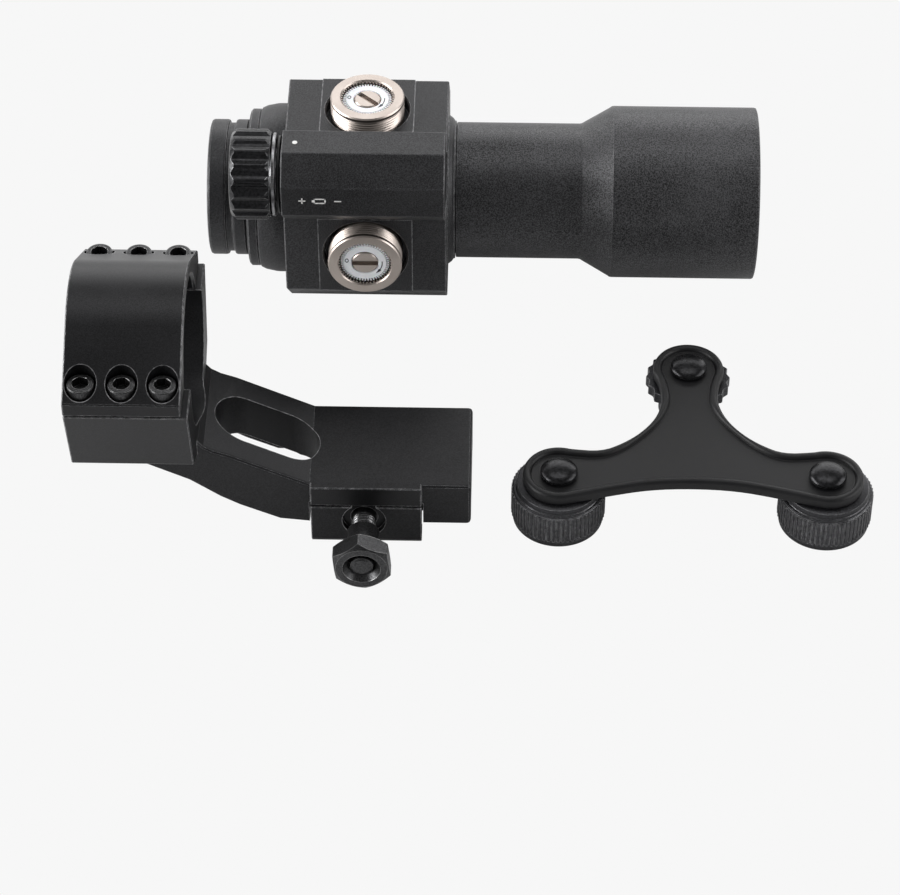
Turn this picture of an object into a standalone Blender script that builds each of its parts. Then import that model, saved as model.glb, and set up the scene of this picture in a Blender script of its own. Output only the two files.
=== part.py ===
"""Finder scope kit: a 30 mm tube finder sight, its cantilever ring mount and its tethered cap set.

Lengths are in millimetres and turned into metres where meshes are made. +X runs along the sight from
the eyepiece to the hood, -Y is the windage side and +Z is up. The three groups stand on Z = 0.
"""

import bmesh
import bpy
from math import acos, atan2, cos, hypot, pi, radians, sin, sqrt
from mathutils import Matrix, Vector

MM = 0.001
ROUND = 28
FEW = 20
GAP = 0.3

# Where the three groups stand: the sight's turret axis, the ring's centre and the strap's middle.
SIGHT_AT = (-25.7, 40.1, 22.2)
RING_AT = (-70.4, -35.2, 41.8)
STRAP_AT = (44.4, -39.3, 0.0)

# The sight: a 30 mm tube through a square housing, lengths measured from the turret axis.
TUBE_R = 15.0
BORE_R = 13.2
HOUSING_HALF = 22.2
HOUSING_FLAT_HALF = 10.5
HOUSING_HALF_LENGTH = 17.6
REAR_END = -35.0
TUBE_END = 46.9
HOOD_START = 53.8
HOOD_END = 85.6
HOOD_R = 19.0
HOOD_WALL = 1.5

# The turrets: a threaded collar in a shallow well, with a dial inside it.
COLLAR_R = 8.05
COLLAR_TOP = 25.9
COLLAR_BORE_R = 5.75
WELL_R = 9.0
WELL_FLOOR = 19.6
DIAL_R = 5.3
SCREW_R = 1.5

# The inner tube that the dials tilt, hung in a gimbal near the eyepiece.
GIMBAL_X = -22.0
INNER_R = 10.2
INNER_BORE_R = 8.9
INNER_END = 26.0

# The battery tube, on the housing's upper front chamfer, and its knob.
POD_OUT = 29.95
POD_HALF = 9.07
POD_BORE_R = 6.4
POD_START = -17.3
POD_END = 17.4
KNOB_R = 9.7
KNOB_START = -28.3
KNOB_END = -19.7
KNOB_FLUTES = 18
CELL_R = 5.8

# The mount: a 30 mm ring on an arm, and a clamp for a 21.2 mm rail. Lengths along the base are from the
# ring's centre, and the base's heights are above the table.
RING_HALF_LENGTH = 11.7
RING_BORE_R = 15.2
RING_R = 18.2
FLANK_LOW = 6.4
LOWER_RING_END = 13.0
SPLIT_HALF = 23.4
SPLIT_Z = 3.3
CAP_SCREW_Y = 19.7
CAP_SCREW_PITCH = 8.1
CAP_SCREW_TOP = 8.9
CAP_SCREW_HEAD_R = 2.75
RING_HEIGHT = RING_AT[2]
BASE_TOP = 15.7
BASE_HALF = 12.1
BASE_START = 35.6
BASE_END = 68.8
RAIL_TOP = 6.7
RAIL_WIDEST = 3.8
RAIL_HALF = 10.9
CLAMP_X = (35.7, 58.6)
CLAMP_HALF = 13.0
CLAMP_SPLIT = 10.5
BOLT_X = 46.7
BOLT_Z = 6.7
BOLT_R = 2.5
NUT_HALF = 5.65
NUT_FACE = 27.1
NUT_LONG = 4.2
NUT_HUB_START = 16.5

# The tethered caps: two turret caps, one battery cap, three rivets and a Y-shaped strap.
CAP_OUT = 27.85
BATTERY_CAP_OUT = 32.4
CAP_R = 9.85
CAP_BORE_R = 8.4
KNURL_LOW = 1.6
KNURL_TOP = 8.1
CAP_TOP = 10.0
CAP_DEPTH = 7.6
STRAP_LOW = 10.4
STRAP_FLOOR = 12.2
STRAP_TOP = 12.9
STRAP_END_R = 7.6
RIVET_R = 3.9


def clear_scene():
    for old in list(bpy.data.objects):
        bpy.data.objects.remove(old)


def finish(name, color, roughness, metallic):
    material = bpy.data.materials.new(name)
    material.use_nodes = True
    shader = material.node_tree.nodes["Principled BSDF"]
    shader.inputs["Base Color"].default_value = (*color, 1.0)
    shader.inputs["Roughness"].default_value = roughness
    shader.inputs["Metallic"].default_value = metallic
    return material


def anchor(name, at):
    """An empty at a group's reference point, in millimetres."""
    empty = bpy.data.objects.new(name, None)
    empty.location = Vector(at) * MM
    bpy.context.collection.objects.link(empty)
    return empty


def add(name, bm, group, at=(0, 0, 0), axis="Z", material=None):
    """Makes an object of a bmesh drawn in millimetres along local Z, with Z turned onto the axis."""
    bmesh.ops.remove_doubles(bm, verts=bm.verts, dist=0.002)
    bmesh.ops.recalc_face_normals(bm, faces=bm.faces)
    bmesh.ops.scale(bm, vec=(MM, MM, MM), verts=bm.verts)
    mesh = bpy.data.meshes.new(name)
    bm.to_mesh(mesh)
    bm.free()
    mesh.shade_smooth()
    mesh.set_sharp_from_angle(angle=radians(30))
    obj = bpy.data.objects.new(name, mesh)
    bpy.context.collection.objects.link(obj)
    turns = {"X": (0, pi / 2, 0), "-X": (0, -pi / 2, 0), "Y": (-pi / 2, 0, 0), "-Y": (pi / 2, 0, 0)}
    obj.rotation_euler = turns.get(axis, (0, 0, 0))
    obj.location = Vector(at) * MM
    obj.parent = group
    if material:
        mesh.materials.append(material)
    else:
        obj.hide_render = True
        obj.display_type = "WIRE"
    return obj


def turned(profile, steps=ROUND, closed=True):
    """Turns (radius, height) points about Z. A closed profile makes a ring; an open one meets the axis."""
    bm = bmesh.new()
    rows = []
    for radius, height in profile:
        if radius < 1e-6:
            rows.append([bm.verts.new((0, 0, height))] * steps)
            continue
        angles = [2 * pi * i / steps for i in range(steps)]
        rows.append([bm.verts.new((radius * cos(a), radius * sin(a), height)) for a in angles])
    pairs = list(zip(rows, rows[1:]))
    if closed:
        pairs.append((rows[-1], rows[0]))
    for low, high in pairs:
        for i in range(steps):
            j = (i + 1) % steps
            corners = list(dict.fromkeys((low[i], low[j], high[j], high[i])))
            if len(corners) > 2:
                bm.faces.new(corners)
    return bm


def pipe(outer, inner, low, high, edge=0.3, steps=ROUND):
    """A straight ring with small chamfers on its outer edges."""
    profile = [(inner, low), (outer - edge, low), (outer, low + edge)]
    profile += [(outer, high - edge), (outer - edge, high), (inner, high)]
    return turned(profile, steps)


def rod(radius, low, high, edge=0.3, steps=ROUND):
    """A round bar with small chamfers at both ends."""
    profile = [(0, low), (radius - edge, low), (radius, low + edge)]
    profile += [(radius, high - edge), (radius - edge, high), (0, high)]
    return turned(profile, steps, closed=False)


def prism(outline, low, high):
    """An outline in the XY plane, raised from low to high."""
    bm = bmesh.new()
    floor = [bm.verts.new((x, y, low)) for x, y in outline]
    roof = [bm.verts.new((x, y, high)) for x, y in outline]
    bm.faces.new(floor)
    bm.faces.new(roof)
    for i in range(len(outline)):
        j = (i + 1) % len(outline)
        bm.faces.new((floor[i], floor[j], roof[j], roof[i]))
    return bm


def across(outline, low, high, plane):
    """A prism whose outline is (y, z) along X, or (x, z) along Y."""
    bm = prism(outline, low, high)
    if plane == "YZ":
        turn = Matrix(((0, 0, 1, 0), (1, 0, 0, 0), (0, 1, 0, 0), (0, 0, 0, 1)))
    else:
        turn = Matrix(((1, 0, 0, 0), (0, 0, 1, 0), (0, 1, 0, 0), (0, 0, 0, 1)))
    bmesh.ops.transform(bm, matrix=turn, verts=bm.verts)
    return bm


def polygon(count, apothem, turn=0.0):
    """Corners of a regular polygon, with one flat facing the turn angle."""
    corner = apothem / cos(pi / count)
    return [
        (corner * cos(turn + pi * (2 * i + 1) / count), corner * sin(turn + pi * (2 * i + 1) / count))
        for i in range(count)
    ]


def boolean(obj, other, operation="DIFFERENCE"):
    modifier = obj.modifiers.new(f"{operation.lower()}_{other.name}", "BOOLEAN")
    modifier.operation = operation
    modifier.object = other
    modifier.solver = "EXACT"


def bevel(obj, width, angle=35):
    modifier = obj.modifiers.new("edge_break", "BEVEL")
    modifier.width = width * MM
    modifier.segments = 1
    modifier.limit_method = "ANGLE"
    modifier.angle_limit = radians(angle)


def smooth_loop(points, steps):
    """A closed curve through the points, with a few steps between each two."""
    loop = []
    count = len(points)
    for i in range(count):
        p0, p1, p2, p3 = (Vector(points[(i + k) % count]) for k in (-1, 0, 1, 2))
        for step in range(steps):
            t = step / steps
            drift = (p2 - p0) * t + (2 * p0 - 5 * p1 + 4 * p2 - p3) * t * t
            drift += (3 * p1 - p0 - 3 * p2 + p3) * t * t * t
            loop.append(tuple(p1 + drift / 2))
    return loop


def square_section(half, flat_half):
    """The housing's section: a square with 45 degree chamfers, as (y, z) points."""
    quarter = [(half, -flat_half), (half, flat_half)]
    points = []
    for turn in range(4):
        c = round(cos(turn * pi / 2))
        s = round(sin(turn * pi / 2))
        points += [(c * y - s * z, s * y + c * z) for y, z in quarter]
    return points


def pod_point():
    """The battery tube's axis, half way between up and the windage side."""
    return -POD_OUT / sqrt(2), POD_OUT / sqrt(2)


# ---------------------------------------------------------------- the sight


def make_housing(group, black):
    """The square housing with its turned rear barrel, its bore, turret wells and battery tube seat."""
    section = square_section(HOUSING_HALF, HOUSING_FLAT_HALF)
    bm = across(section, -HOUSING_HALF_LENGTH, HOUSING_HALF_LENGTH, "YZ")
    housing = add("sight_housing", bm, group, material=black)
    bevel(housing, 0.5)

    barrel = [(BORE_R, -23.7), (BORE_R, -26.2), (17.0, -26.2), (17.4, -25.8), (17.4, -23.9), (17.9, -23.4)]
    barrel += [(18.4, -22.6), (18.7, -19.5), (18.7, -16.0), (BORE_R, -16.0)]
    rear = add("rear_barrel", turned(barrel), group, axis="X")
    boolean(housing, rear, "UNION")

    neck = [(BORE_R, 16.0), (16.4, 16.0), (16.4, 17.9), (15.3, 19.3), (BORE_R, 19.3)]
    front = add("front_neck", turned(neck), group, axis="X")
    boolean(housing, front, "UNION")

    bore = add("housing_bore", rod(BORE_R + 0.8, -40, 40), group, axis="X")
    boolean(housing, bore)
    thread = add("eyepiece_thread", rod(14.3, -30, -21.5), group, axis="X")
    boolean(housing, thread)

    for side, axis, at in (("top", "Z", (0, 0, WELL_FLOOR)), ("side", "-Y", (0, -WELL_FLOOR, 0))):
        well = add(f"{side}_well", rod(WELL_R, 0, 8), group, at, axis)
        boolean(housing, well)
        hole = add(f"{side}_hole", rod(3.0, -10, 8, steps=20), group, at, axis)
        boolean(housing, hole)

    y, z = pod_point()
    seat_outline = [(p + y, q + z) for p, q in polygon(8, POD_HALF + GAP, pi / 4)]
    seat = add("pod_seat", across(seat_outline, -40, 40, "YZ"), group)
    boolean(housing, seat)
    return housing


def make_objective_tube(group, black):
    """The front tube: spigot, straight tube, cone and hood, all one turning."""
    spigot = BORE_R + 0.8 - GAP
    hood_in = HOOD_R - HOOD_WALL
    profile = [(BORE_R - 1.0, 12.0), (spigot, 12.0), (spigot, 19.6), (TUBE_R, 19.6), (TUBE_R, TUBE_END)]
    profile += [(HOOD_R - 0.2, HOOD_START - 0.4), (HOOD_R, HOOD_START), (HOOD_R, HOOD_END - 0.3)]
    profile += [(HOOD_R - 0.3, HOOD_END), (hood_in, HOOD_END), (hood_in, HOOD_START + 1.5)]
    profile += [(15.6, HOOD_START + 1.5), (15.6, HOOD_START - 4.5), (13.4, HOOD_START - 4.5)]
    profile += [(13.4, 19.6), (BORE_R - 1.0, 18.6)]
    return add("objective_tube", turned(profile), group, axis="X", material=black)


def make_eyepiece(group, black, glass):
    """The threaded eyepiece ring with its two bands, and the lens and lens ring inside it."""
    profile = [(10.6, REAR_END + 1.6), (13.6, REAR_END), (14.6, REAR_END), (TUBE_R, REAR_END + 0.5)]
    profile += [(TUBE_R, -31.2), (14.3, -31.0), (14.3, -29.6), (TUBE_R, -29.3), (TUBE_R, -26.8)]
    profile += [(13.9, -26.5), (13.9, -23.0), (12.9, -23.0), (12.9, REAR_END + 4.0), (10.6, REAR_END + 4.0)]
    add("eyepiece_ring", turned(profile), group, axis="X", material=black)

    low = REAR_END + 4.3
    lens = [(0, low + 0.5), (8.0, low + 0.2), (12.6, low - 0.0), (12.6, low + 1.8), (0, low + 1.8)]
    add("ocular_lens", turned(lens, closed=False), group, axis="X", material=glass)
    add("ocular_lock_ring", pipe(12.6, 10.4, low + 2.1, low + 3.9, 0.0), group, axis="X", material=black)


def make_objective_optics(group, black, glass):
    """The objective lens in its seat behind the hood, held by a thin lock ring."""
    seat = HOOD_START - 4.5
    lens = [(0, seat + 3.4), (8, seat + 3.0), (15.3, seat + 2.0), (15.3, seat + 0.3), (0, seat + 0.3)]
    add("objective_lens", turned(lens[::-1], closed=False), group, axis="X", material=glass)
    ring = pipe(15.3, 13.6, seat + 3.4, seat + 5.4, 0.0)
    add("objective_lock_ring", ring, group, axis="X", material=black)


def make_inner_tube(group, black, glass, red):
    """The tilting tube in its gimbal ring, with the dot's reflector lens and emitter."""
    gimbal = pipe(12.4, INNER_R + 0.6, GIMBAL_X - 1.6, GIMBAL_X + 1.6, 0.0, FEW)
    add("gimbal_ring", gimbal, group, axis="X", material=black)

    start = GIMBAL_X - 2.4
    profile = [(INNER_BORE_R, start), (INNER_R, start), (INNER_R, INNER_END)]
    profile += [(INNER_BORE_R + 0.5, INNER_END), (INNER_BORE_R + 0.5, INNER_END - 3.4)]
    profile += [(INNER_BORE_R, INNER_END - 3.4)]
    tube = add("erector_tube", turned(profile), group, axis="X", material=black)
    step = add("pad_box", across([(-3, 9.7), (3, 9.7), (3, 12), (-3, 12)], -4, 4, "YZ"), group)
    boolean(tube, step)
    side = add("side_pad_box", across([(-9.7, -3), (-12, -3), (-12, 3), (-9.7, 3)], -4, 4, "YZ"), group)
    boolean(tube, side)

    lens_r = INNER_BORE_R + 0.2
    back = INNER_END - 3.1
    lens = [(0, back + 2.4), (5, back + 2.2), (lens_r, back + 1.6), (lens_r, back), (0, back + 0.7)]
    add("reflector_lens", turned(lens[::-1], closed=False), group, axis="X", material=glass)

    led = rod(1.3, 0, 3.0, steps=16)
    add("dot_emitter", led, group, (GIMBAL_X + 2, 0, -INNER_BORE_R + 1.7), "X", material=red)


def make_turret(group, name, axis, metal, dial_finish, screw_finish):
    """A threaded collar, the slotted dial inside it and the adjusting screw under the dial."""
    vertical = axis == "Z"

    def on_axis(height):
        return (0, 0, height) if vertical else (0, -height, 0)

    low = WELL_FLOOR + GAP
    profile = [(3.6, low), (COLLAR_R, low), (COLLAR_R, COLLAR_TOP - 0.4), (COLLAR_R - 0.4, COLLAR_TOP)]
    profile += [(COLLAR_BORE_R + 0.3, COLLAR_TOP), (COLLAR_BORE_R, COLLAR_TOP - 0.3)]
    profile += [(COLLAR_BORE_R, low + 2.2), (3.6, low + 2.2)]
    profile = [(r, h - low) for r, h in profile]
    add(f"{name}_collar", turned(profile), group, on_axis(low), axis, metal)

    base = low + 2.5
    dial = [(1.9, 0), (DIAL_R, 0), (DIAL_R, 2.5), (DIAL_R - 0.3, 2.8), (2.85, 2.8), (2.85, 2.95), (0, 2.95)]
    dial += [(0, 1.7), (1.9, 1.7)]
    dial_obj = add(f"{name}_dial", turned(dial), group, on_axis(base), axis, dial_finish)
    boolean_slot = prism([(-3.2, -0.6), (3.2, -0.6), (3.2, 0.6), (-3.2, 0.6)], 2.15, 4.0)
    slot = add(f"{name}_slot", boolean_slot, group, on_axis(base), axis)
    slot.rotation_euler.rotate_axis("Z", radians(-43 if vertical else 0))
    boolean(dial_obj, slot)

    tip = 10.1
    screw = rod(SCREW_R, 0, base + 0.9 - tip, 0.4, 16)
    add(f"{name}_screw", screw, group, on_axis(tip), axis, screw_finish)


def make_return_spring(group, steel):
    """The leaf that pushes the inner tube back against both screws, low on the far side."""
    reach = (BORE_R + 0.8 + INNER_R) / 2 / sqrt(2)
    bm = prism([(-12, -2.5), (10, -2.5), (10, 2.5), (-12, 2.5)], -0.25, 0.25)
    turn = Matrix.Rotation(radians(45), 4, "X")
    bmesh.ops.transform(bm, matrix=turn, verts=bm.verts)
    add("return_spring", bm, group, (0, reach, -reach), material=steel)


def make_battery_pod(group, black, gloss, rubber, steel, green):
    """The octagonal battery tube on the chamfer, with its fluted brightness knob and what is inside."""
    y, z = pod_point()
    outline = polygon(8, POD_HALF, pi / 4)
    tube = add("battery_tube", across(outline, POD_START, POD_END, "YZ"), group, (0, y, z), material=black)
    bevel(tube, 0.35)
    hollow = add("battery_bore", rod(POD_BORE_R, POD_START - 5, POD_END - 3.0), group, (0, y, z), "X")
    boolean(tube, hollow)

    at = (0, y, z)
    add("knob_washer", pipe(8.9, 7.0, -19.4, -18.6, 0.2, FEW), group, at, "X", steel)
    add("knob_seal", pipe(8.3, 7.0, -18.3, -17.6, 0.2, FEW), group, at, "X", rubber)

    points = []
    for flute in range(KNOB_FLUTES):
        for part, radius in ((0.0, KNOB_R), (0.32, KNOB_R), (0.5, KNOB_R - 0.55), (0.82, KNOB_R - 0.55)):
            angle = 2 * pi * (flute + part) / KNOB_FLUTES
            points.append((radius * cos(angle), radius * sin(angle)))
    knob = add("brightness_knob", prism(points, KNOB_START, KNOB_END), group, at, "X", gloss)
    ends = [(0, KNOB_START - 1), (KNOB_R - 0.9, KNOB_START - 1), (KNOB_R - 0.9, KNOB_START)]
    ends += [(KNOB_R + 0.1, KNOB_START + 1.0), (KNOB_R + 0.1, KNOB_END - 0.7)]
    ends += [(KNOB_R - 0.7, KNOB_END), (KNOB_R - 0.7, KNOB_END + 1), (0, KNOB_END + 1)]
    envelope = add("knob_envelope", turned(ends, closed=False), group, at, "X")
    boolean(knob, envelope, "INTERSECT")
    boolean(knob, add("knob_bore", rod(CELL_R + 0.5, -40, 0), group, at, "X"))

    add("battery_cell", rod(CELL_R, -19.8, -9.0, 0.5, FEW), group, at, "X", steel)
    spring = [(2.0, -8.7), (4.6, -8.7), (4.6, -8.1), (3.4, -6.6), (2.6, -6.6), (3.2, -8.1), (2.0, -8.1)]
    add("battery_spring", turned(spring, 20), group, at, "X", steel)
    add("dimmer_board", rod(6.1, -6.3, -5.1, 0.0, FEW), group, at, "X", green)


def make_sight(looks):
    group = anchor("sight_axis", SIGHT_AT)
    make_housing(group, looks["black"])
    make_objective_tube(group, looks["black"])
    make_eyepiece(group, looks["black"], looks["glass"])
    make_objective_optics(group, looks["black"], looks["glass"])
    make_inner_tube(group, looks["black"], looks["glass"], looks["red"])
    for name, axis in (("elevation", "Z"), ("windage", "-Y")):
        make_turret(group, name, axis, looks["bronze"], looks["dial"], looks["steel"])
    make_return_spring(group, looks["steel"])
    make_battery_pod(group, looks["black"], looks["gloss"], looks["rubber"], looks["steel"], looks["green"])


# ---------------------------------------------------------------- the mount


def arch_outline(split):
    """The ring cap's outline above the split: a round crown with straight flanks down to its lips."""
    reach = atan2(SPLIT_HALF, FLANK_LOW)
    lean = reach - acos(RING_R / hypot(SPLIT_HALF, FLANK_LOW))
    turns = [lean * step / 6 for step in range(6, -7, -1)]
    crown = [(RING_R * sin(a), RING_R * cos(a)) for a in turns]
    return [(SPLIT_HALF, split), (SPLIT_HALF, FLANK_LOW), *crown, (-SPLIT_HALF, FLANK_LOW), (-SPLIT_HALF, split)]


def make_ring_cap(group, black, dark_steel):
    """The removable half of the ring, and its six socket-head screws in counterbores."""
    x0, x1 = -RING_HALF_LENGTH, RING_HALF_LENGTH
    cap = add("ring_cap", across(arch_outline(SPLIT_Z), x0, x1, "YZ"), group, material=black)
    bevel(cap, 0.4)
    boolean(cap, add("cap_bore", rod(RING_BORE_R, -20, 20), group, axis="X"))
    for number, (x, y) in enumerate(cap_screw_places(), 1):
        seat = rod(CAP_SCREW_HEAD_R + 0.55, CAP_SCREW_TOP - 3.3, 30, 0.0, 16)
        boolean(cap, add(f"counterbore_{number}", seat, group, (x, y, 0)))
        hole = rod(1.8, 0, 20, 0.0, 12)
        boolean(cap, add(f"cap_hole_{number}", hole, group, (x, y, 0)))
        make_cap_screw(group, number, (x, y, 0), dark_steel)


def cap_screw_places():
    """The six cap screws, as (x, y) about the ring's centre: the windage side's three come first."""
    pitch = CAP_SCREW_PITCH
    return [(x, y) for y in (-CAP_SCREW_Y, CAP_SCREW_Y) for x in (-pitch, 0, pitch)]


def make_cap_screw(group, number, at, dark_steel):
    """A socket-head screw: a round head with a hexagon socket on a plain shank."""
    head_low = CAP_SCREW_TOP - 3.0
    head_r = CAP_SCREW_HEAD_R
    profile = [(0, -3.0), (1.5, -3.0), (1.5, head_low), (head_r, head_low)]
    profile += [(head_r, CAP_SCREW_TOP - 0.35), (head_r - 0.35, CAP_SCREW_TOP), (0, CAP_SCREW_TOP)]
    bm = turned(profile, 16, closed=False)
    screw = add(f"cap_screw_{number}", bm, group, at, material=dark_steel)
    socket = prism(polygon(6, 1.6), CAP_SCREW_TOP - 1.8, CAP_SCREW_TOP + 1)
    boolean(screw, add(f"cap_socket_{number}", socket, group, at))


def drop(points):
    """Heights above the table turned into heights about the ring's centre."""
    return [(along, height - RING_HEIGHT) for along, height in points]


def make_mount_base(group, black):
    """The lower ring half, the slotted arm and the rail clamp's fixed side, machined as one piece."""
    split = SPLIT_Z - GAP
    lower = [(-SPLIT_HALF, split), (-18.7, -14.2), (-9.5, -19.2), (9.5, -19.2), (18.7, -14.2), (SPLIT_HALF, split)]
    bm = across(lower, -RING_HALF_LENGTH, LOWER_RING_END, "YZ")
    base = add("mount_base", bm, group, material=black)

    side = [(BASE_END, BASE_TOP), (BASE_END, 4.7), (BASE_START, 4.7), (29.2, 5.4), (21.1, 9.2)]
    side += [(17.1, 11.6), (10.9, 16.3), (1.9, 20.9), (-2.1, 24.0), (3.9, 34.0), (12.3, 34.0)]
    side += [(12.6, 29.5), (13.2, 27.4), (14.3, 26.0), (16.2, 24.8), (19.4, 23.6), (BASE_START, BASE_TOP)]
    arm = add("arm_block", across(drop(side), -BASE_HALF, BASE_HALF, "XZ"), group)
    bevel(arm, 1.2, 80)
    boolean(base, arm, "UNION")

    clamp_low, clamp_high = CLAMP_X
    top = BASE_TOP - 0.02
    boss = [(clamp_low, top - 5), (clamp_high, top - 5), (clamp_high, top), (clamp_low, top)]
    boolean(base, add("clamp_boss", across(drop(boss), -CLAMP_HALF, -8, "XZ"), group), "UNION")

    hook = [(6.0, RAIL_TOP + 2), (6.0, 5.0), (RAIL_HALF, 5.0), (RAIL_HALF, RAIL_WIDEST), (8.7, 1.6)]
    hook += [(8.7, 0.8), (9.5, 0), (11.9, 0), (CLAMP_HALF, 1.2), (CLAMP_HALF, 10.5), (BASE_HALF - 1, 12)]
    hook_bm = across(drop(hook), BASE_START, BASE_END - 0.6, "YZ")
    boolean(base, add("fixed_hook", hook_bm, group), "UNION")

    channel = [(-7.9, RAIL_TOP), (-RAIL_HALF, RAIL_WIDEST), (-RAIL_HALF, -5), (8.7, -5), (8.7, 1.6)]
    channel += [(RAIL_HALF, RAIL_WIDEST), (7.9, RAIL_TOP)]
    boolean(base, add("rail_channel", across(drop(channel), BASE_START - 18, BASE_END + 20, "YZ"), group))

    pocket = [(14.0, -1), (34.5, -1), (34.5, 6.2), (33.0, 6.5), (19.4, 13.1), (14.0, 15.0)]
    boolean(base, add("arm_pocket", across(drop(pocket), -8.5, 8.5, "XZ"), group))

    jaw_room = [(-9.0, CLAMP_SPLIT + 0.3), (-9.0, -5), (-20, -5), (-20, CLAMP_SPLIT + 0.3)]
    room = across(drop(jaw_room), clamp_low - GAP, clamp_high + GAP, "YZ")
    boolean(base, add("jaw_room", room, group))

    bolt_at = (BOLT_X, 0, BOLT_Z - RING_HEIGHT)
    boolean(base, add("bolt_way", rod(BOLT_R + 0.2, -20, 20, steps=FEW), group, bolt_at, "-Y"))
    boolean(base, add("ring_bore", rod(RING_BORE_R, -20, 40), group, axis="X"))

    slot = []
    for end, start in ((4.5, -90), (-4.5, 90)):
        slot += [(end + 6.2 * cos(radians(a)), 6.2 * sin(radians(a))) for a in range(start, start + 181, 20)]
    boolean(base, add("arm_slot", prism(slot, -60, 0), group, (26.5, 0, 0)))
    for number, (x, y) in enumerate(cap_screw_places()):
        tap = rod(1.8, -3.4, 20, 0.0, 12)
        boolean(base, add(f"tapped_hole_{number + 1}", tap, group, (x, y, 0)))


def make_clamp(group, black, dark_steel):
    """The sliding jaw, the cross bolt that also takes recoil, and the nut that closes the jaw."""
    jaw = [(-CLAMP_HALF - 0.3, CLAMP_SPLIT), (-CLAMP_HALF - 0.3, 1.4), (-CLAMP_HALF + 0.6, 0)]
    jaw += [(-9.5, 0), (-8.7, 0.8), (-8.7, 1.6), (-RAIL_HALF, RAIL_WIDEST), (-9.3, 5.4), (-9.3, CLAMP_SPLIT)]
    clamp_jaw = add("clamp_jaw", across(drop(jaw), *CLAMP_X, "YZ"), group, material=black)
    bolt_at = (BOLT_X, 0, BOLT_Z - RING_HEIGHT)
    boolean(clamp_jaw, add("jaw_hole", rod(BOLT_R + 0.3, 0, 30, steps=FEW), group, bolt_at, "-Y"))
    boolean(clamp_jaw, add("jaw_recess", rod(4.5, 12.0, 30, steps=FEW), group, bolt_at, "-Y"))

    far = -CLAMP_HALF - GAP
    bolt = [(0, far - 3.0), (3.4, far - 3.0), (4.0, far - 2.4), (4.0, far), (BOLT_R, far)]
    bolt += [(BOLT_R, NUT_FACE - 0.8), (BOLT_R - 0.4, NUT_FACE - 0.3), (0, NUT_FACE - 0.3)]
    bolt_bm = turned(bolt, FEW, closed=False)
    add("cross_bolt", bolt_bm, group, bolt_at, "-Y", dark_steel)

    nut_low = NUT_FACE - NUT_LONG
    nut_bm = prism(polygon(6, NUT_HALF, radians(6)), nut_low, NUT_FACE)
    nut = add("clamp_nut", nut_bm, group, bolt_at, "-Y", dark_steel)
    hub = pipe(3.3, BOLT_R + 0.2, NUT_HUB_START, nut_low + 1, 0.2, FEW)
    corner = NUT_HALF / cos(pi / 6)
    faces = [(0, nut_low - 1), (5.6, nut_low - 1), (5.6, nut_low), (corner + 0.1, nut_low + 0.6)]
    faces += [(corner + 0.1, NUT_FACE - 0.9), (5.2, NUT_FACE), (5.2, NUT_FACE + 1), (0, NUT_FACE + 1)]
    envelope = add("nut_envelope", turned(faces, closed=False), group, bolt_at, "-Y")
    boolean(nut, envelope, "INTERSECT")
    bore = [(0, nut_low - 1), (BOLT_R + 0.2, nut_low - 1), (BOLT_R + 0.2, NUT_FACE - 1.4)]
    bore += [(3.9, NUT_FACE), (3.9, NUT_FACE + 1), (0, NUT_FACE + 1)]
    boolean(nut, add("nut_hub", hub, group, bolt_at, "-Y"), "UNION")
    boolean(nut, add("nut_bore", turned(bore, FEW, closed=False), group, bolt_at, "-Y"))


def make_mount(looks):
    group = anchor("ring_axis", RING_AT)
    make_mount_base(group, looks["satin"])
    make_ring_cap(group, looks["satin"], looks["dark_steel"])
    make_clamp(group, looks["satin"], looks["dark_steel"])


# ---------------------------------------------------------------- the tethered caps


def strap_outline(inset=0.0):
    """Half of the strap by its own points, mirrored, about the middle of the two turret caps."""
    end_r = STRAP_END_R - inset
    half = [(0, -2.4 + inset), (9.0, -2.9 + inset), (17.5, -4.9 + inset)]
    half += [(CAP_OUT + end_r * cos(radians(a)), end_r * sin(radians(a))) for a in range(-112, 113, 28)]
    half += [(19.0, 6.6 - inset), (14.6, 8.9 - inset), (10.6, 12.2 - 0.8 * inset), (7.6 - 0.8 * inset, 16.4)]
    half += [(5.9 - inset, 21.6), (6.0 - inset, 25.4)]
    half += [(end_r * cos(radians(a)), BATTERY_CAP_OUT + end_r * sin(radians(a))) for a in (-30, 0, 30, 60)]
    top = [(0, BATTERY_CAP_OUT + end_r)]
    mirrored = [(-x, y) for x, y in reversed(half[1:])]
    return smooth_loop(half + top + mirrored, 2)


def make_strap(group, rubber):
    """The flat rubber strap: a rounded rim around a shallow recess, with a hole for each rivet."""
    strap = add("tether_strap", prism(strap_outline(), STRAP_LOW, STRAP_TOP), group, material=rubber)
    recess = prism(strap_outline(1.9), STRAP_FLOOR, STRAP_TOP + 1)
    boolean(strap, add("strap_recess", recess, group))
    for name, (x, y) in cap_places().items():
        hole = rod(2.2, 5, 15, steps=20)
        boolean(strap, add(f"{name}_strap_hole", hole, group, (x, y, 0)))


def cap_places():
    return {
        "elevation_cap": (-CAP_OUT, 0),
        "windage_cap": (CAP_OUT, 0),
        "battery_cap": (0, BATTERY_CAP_OUT),
    }


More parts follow.
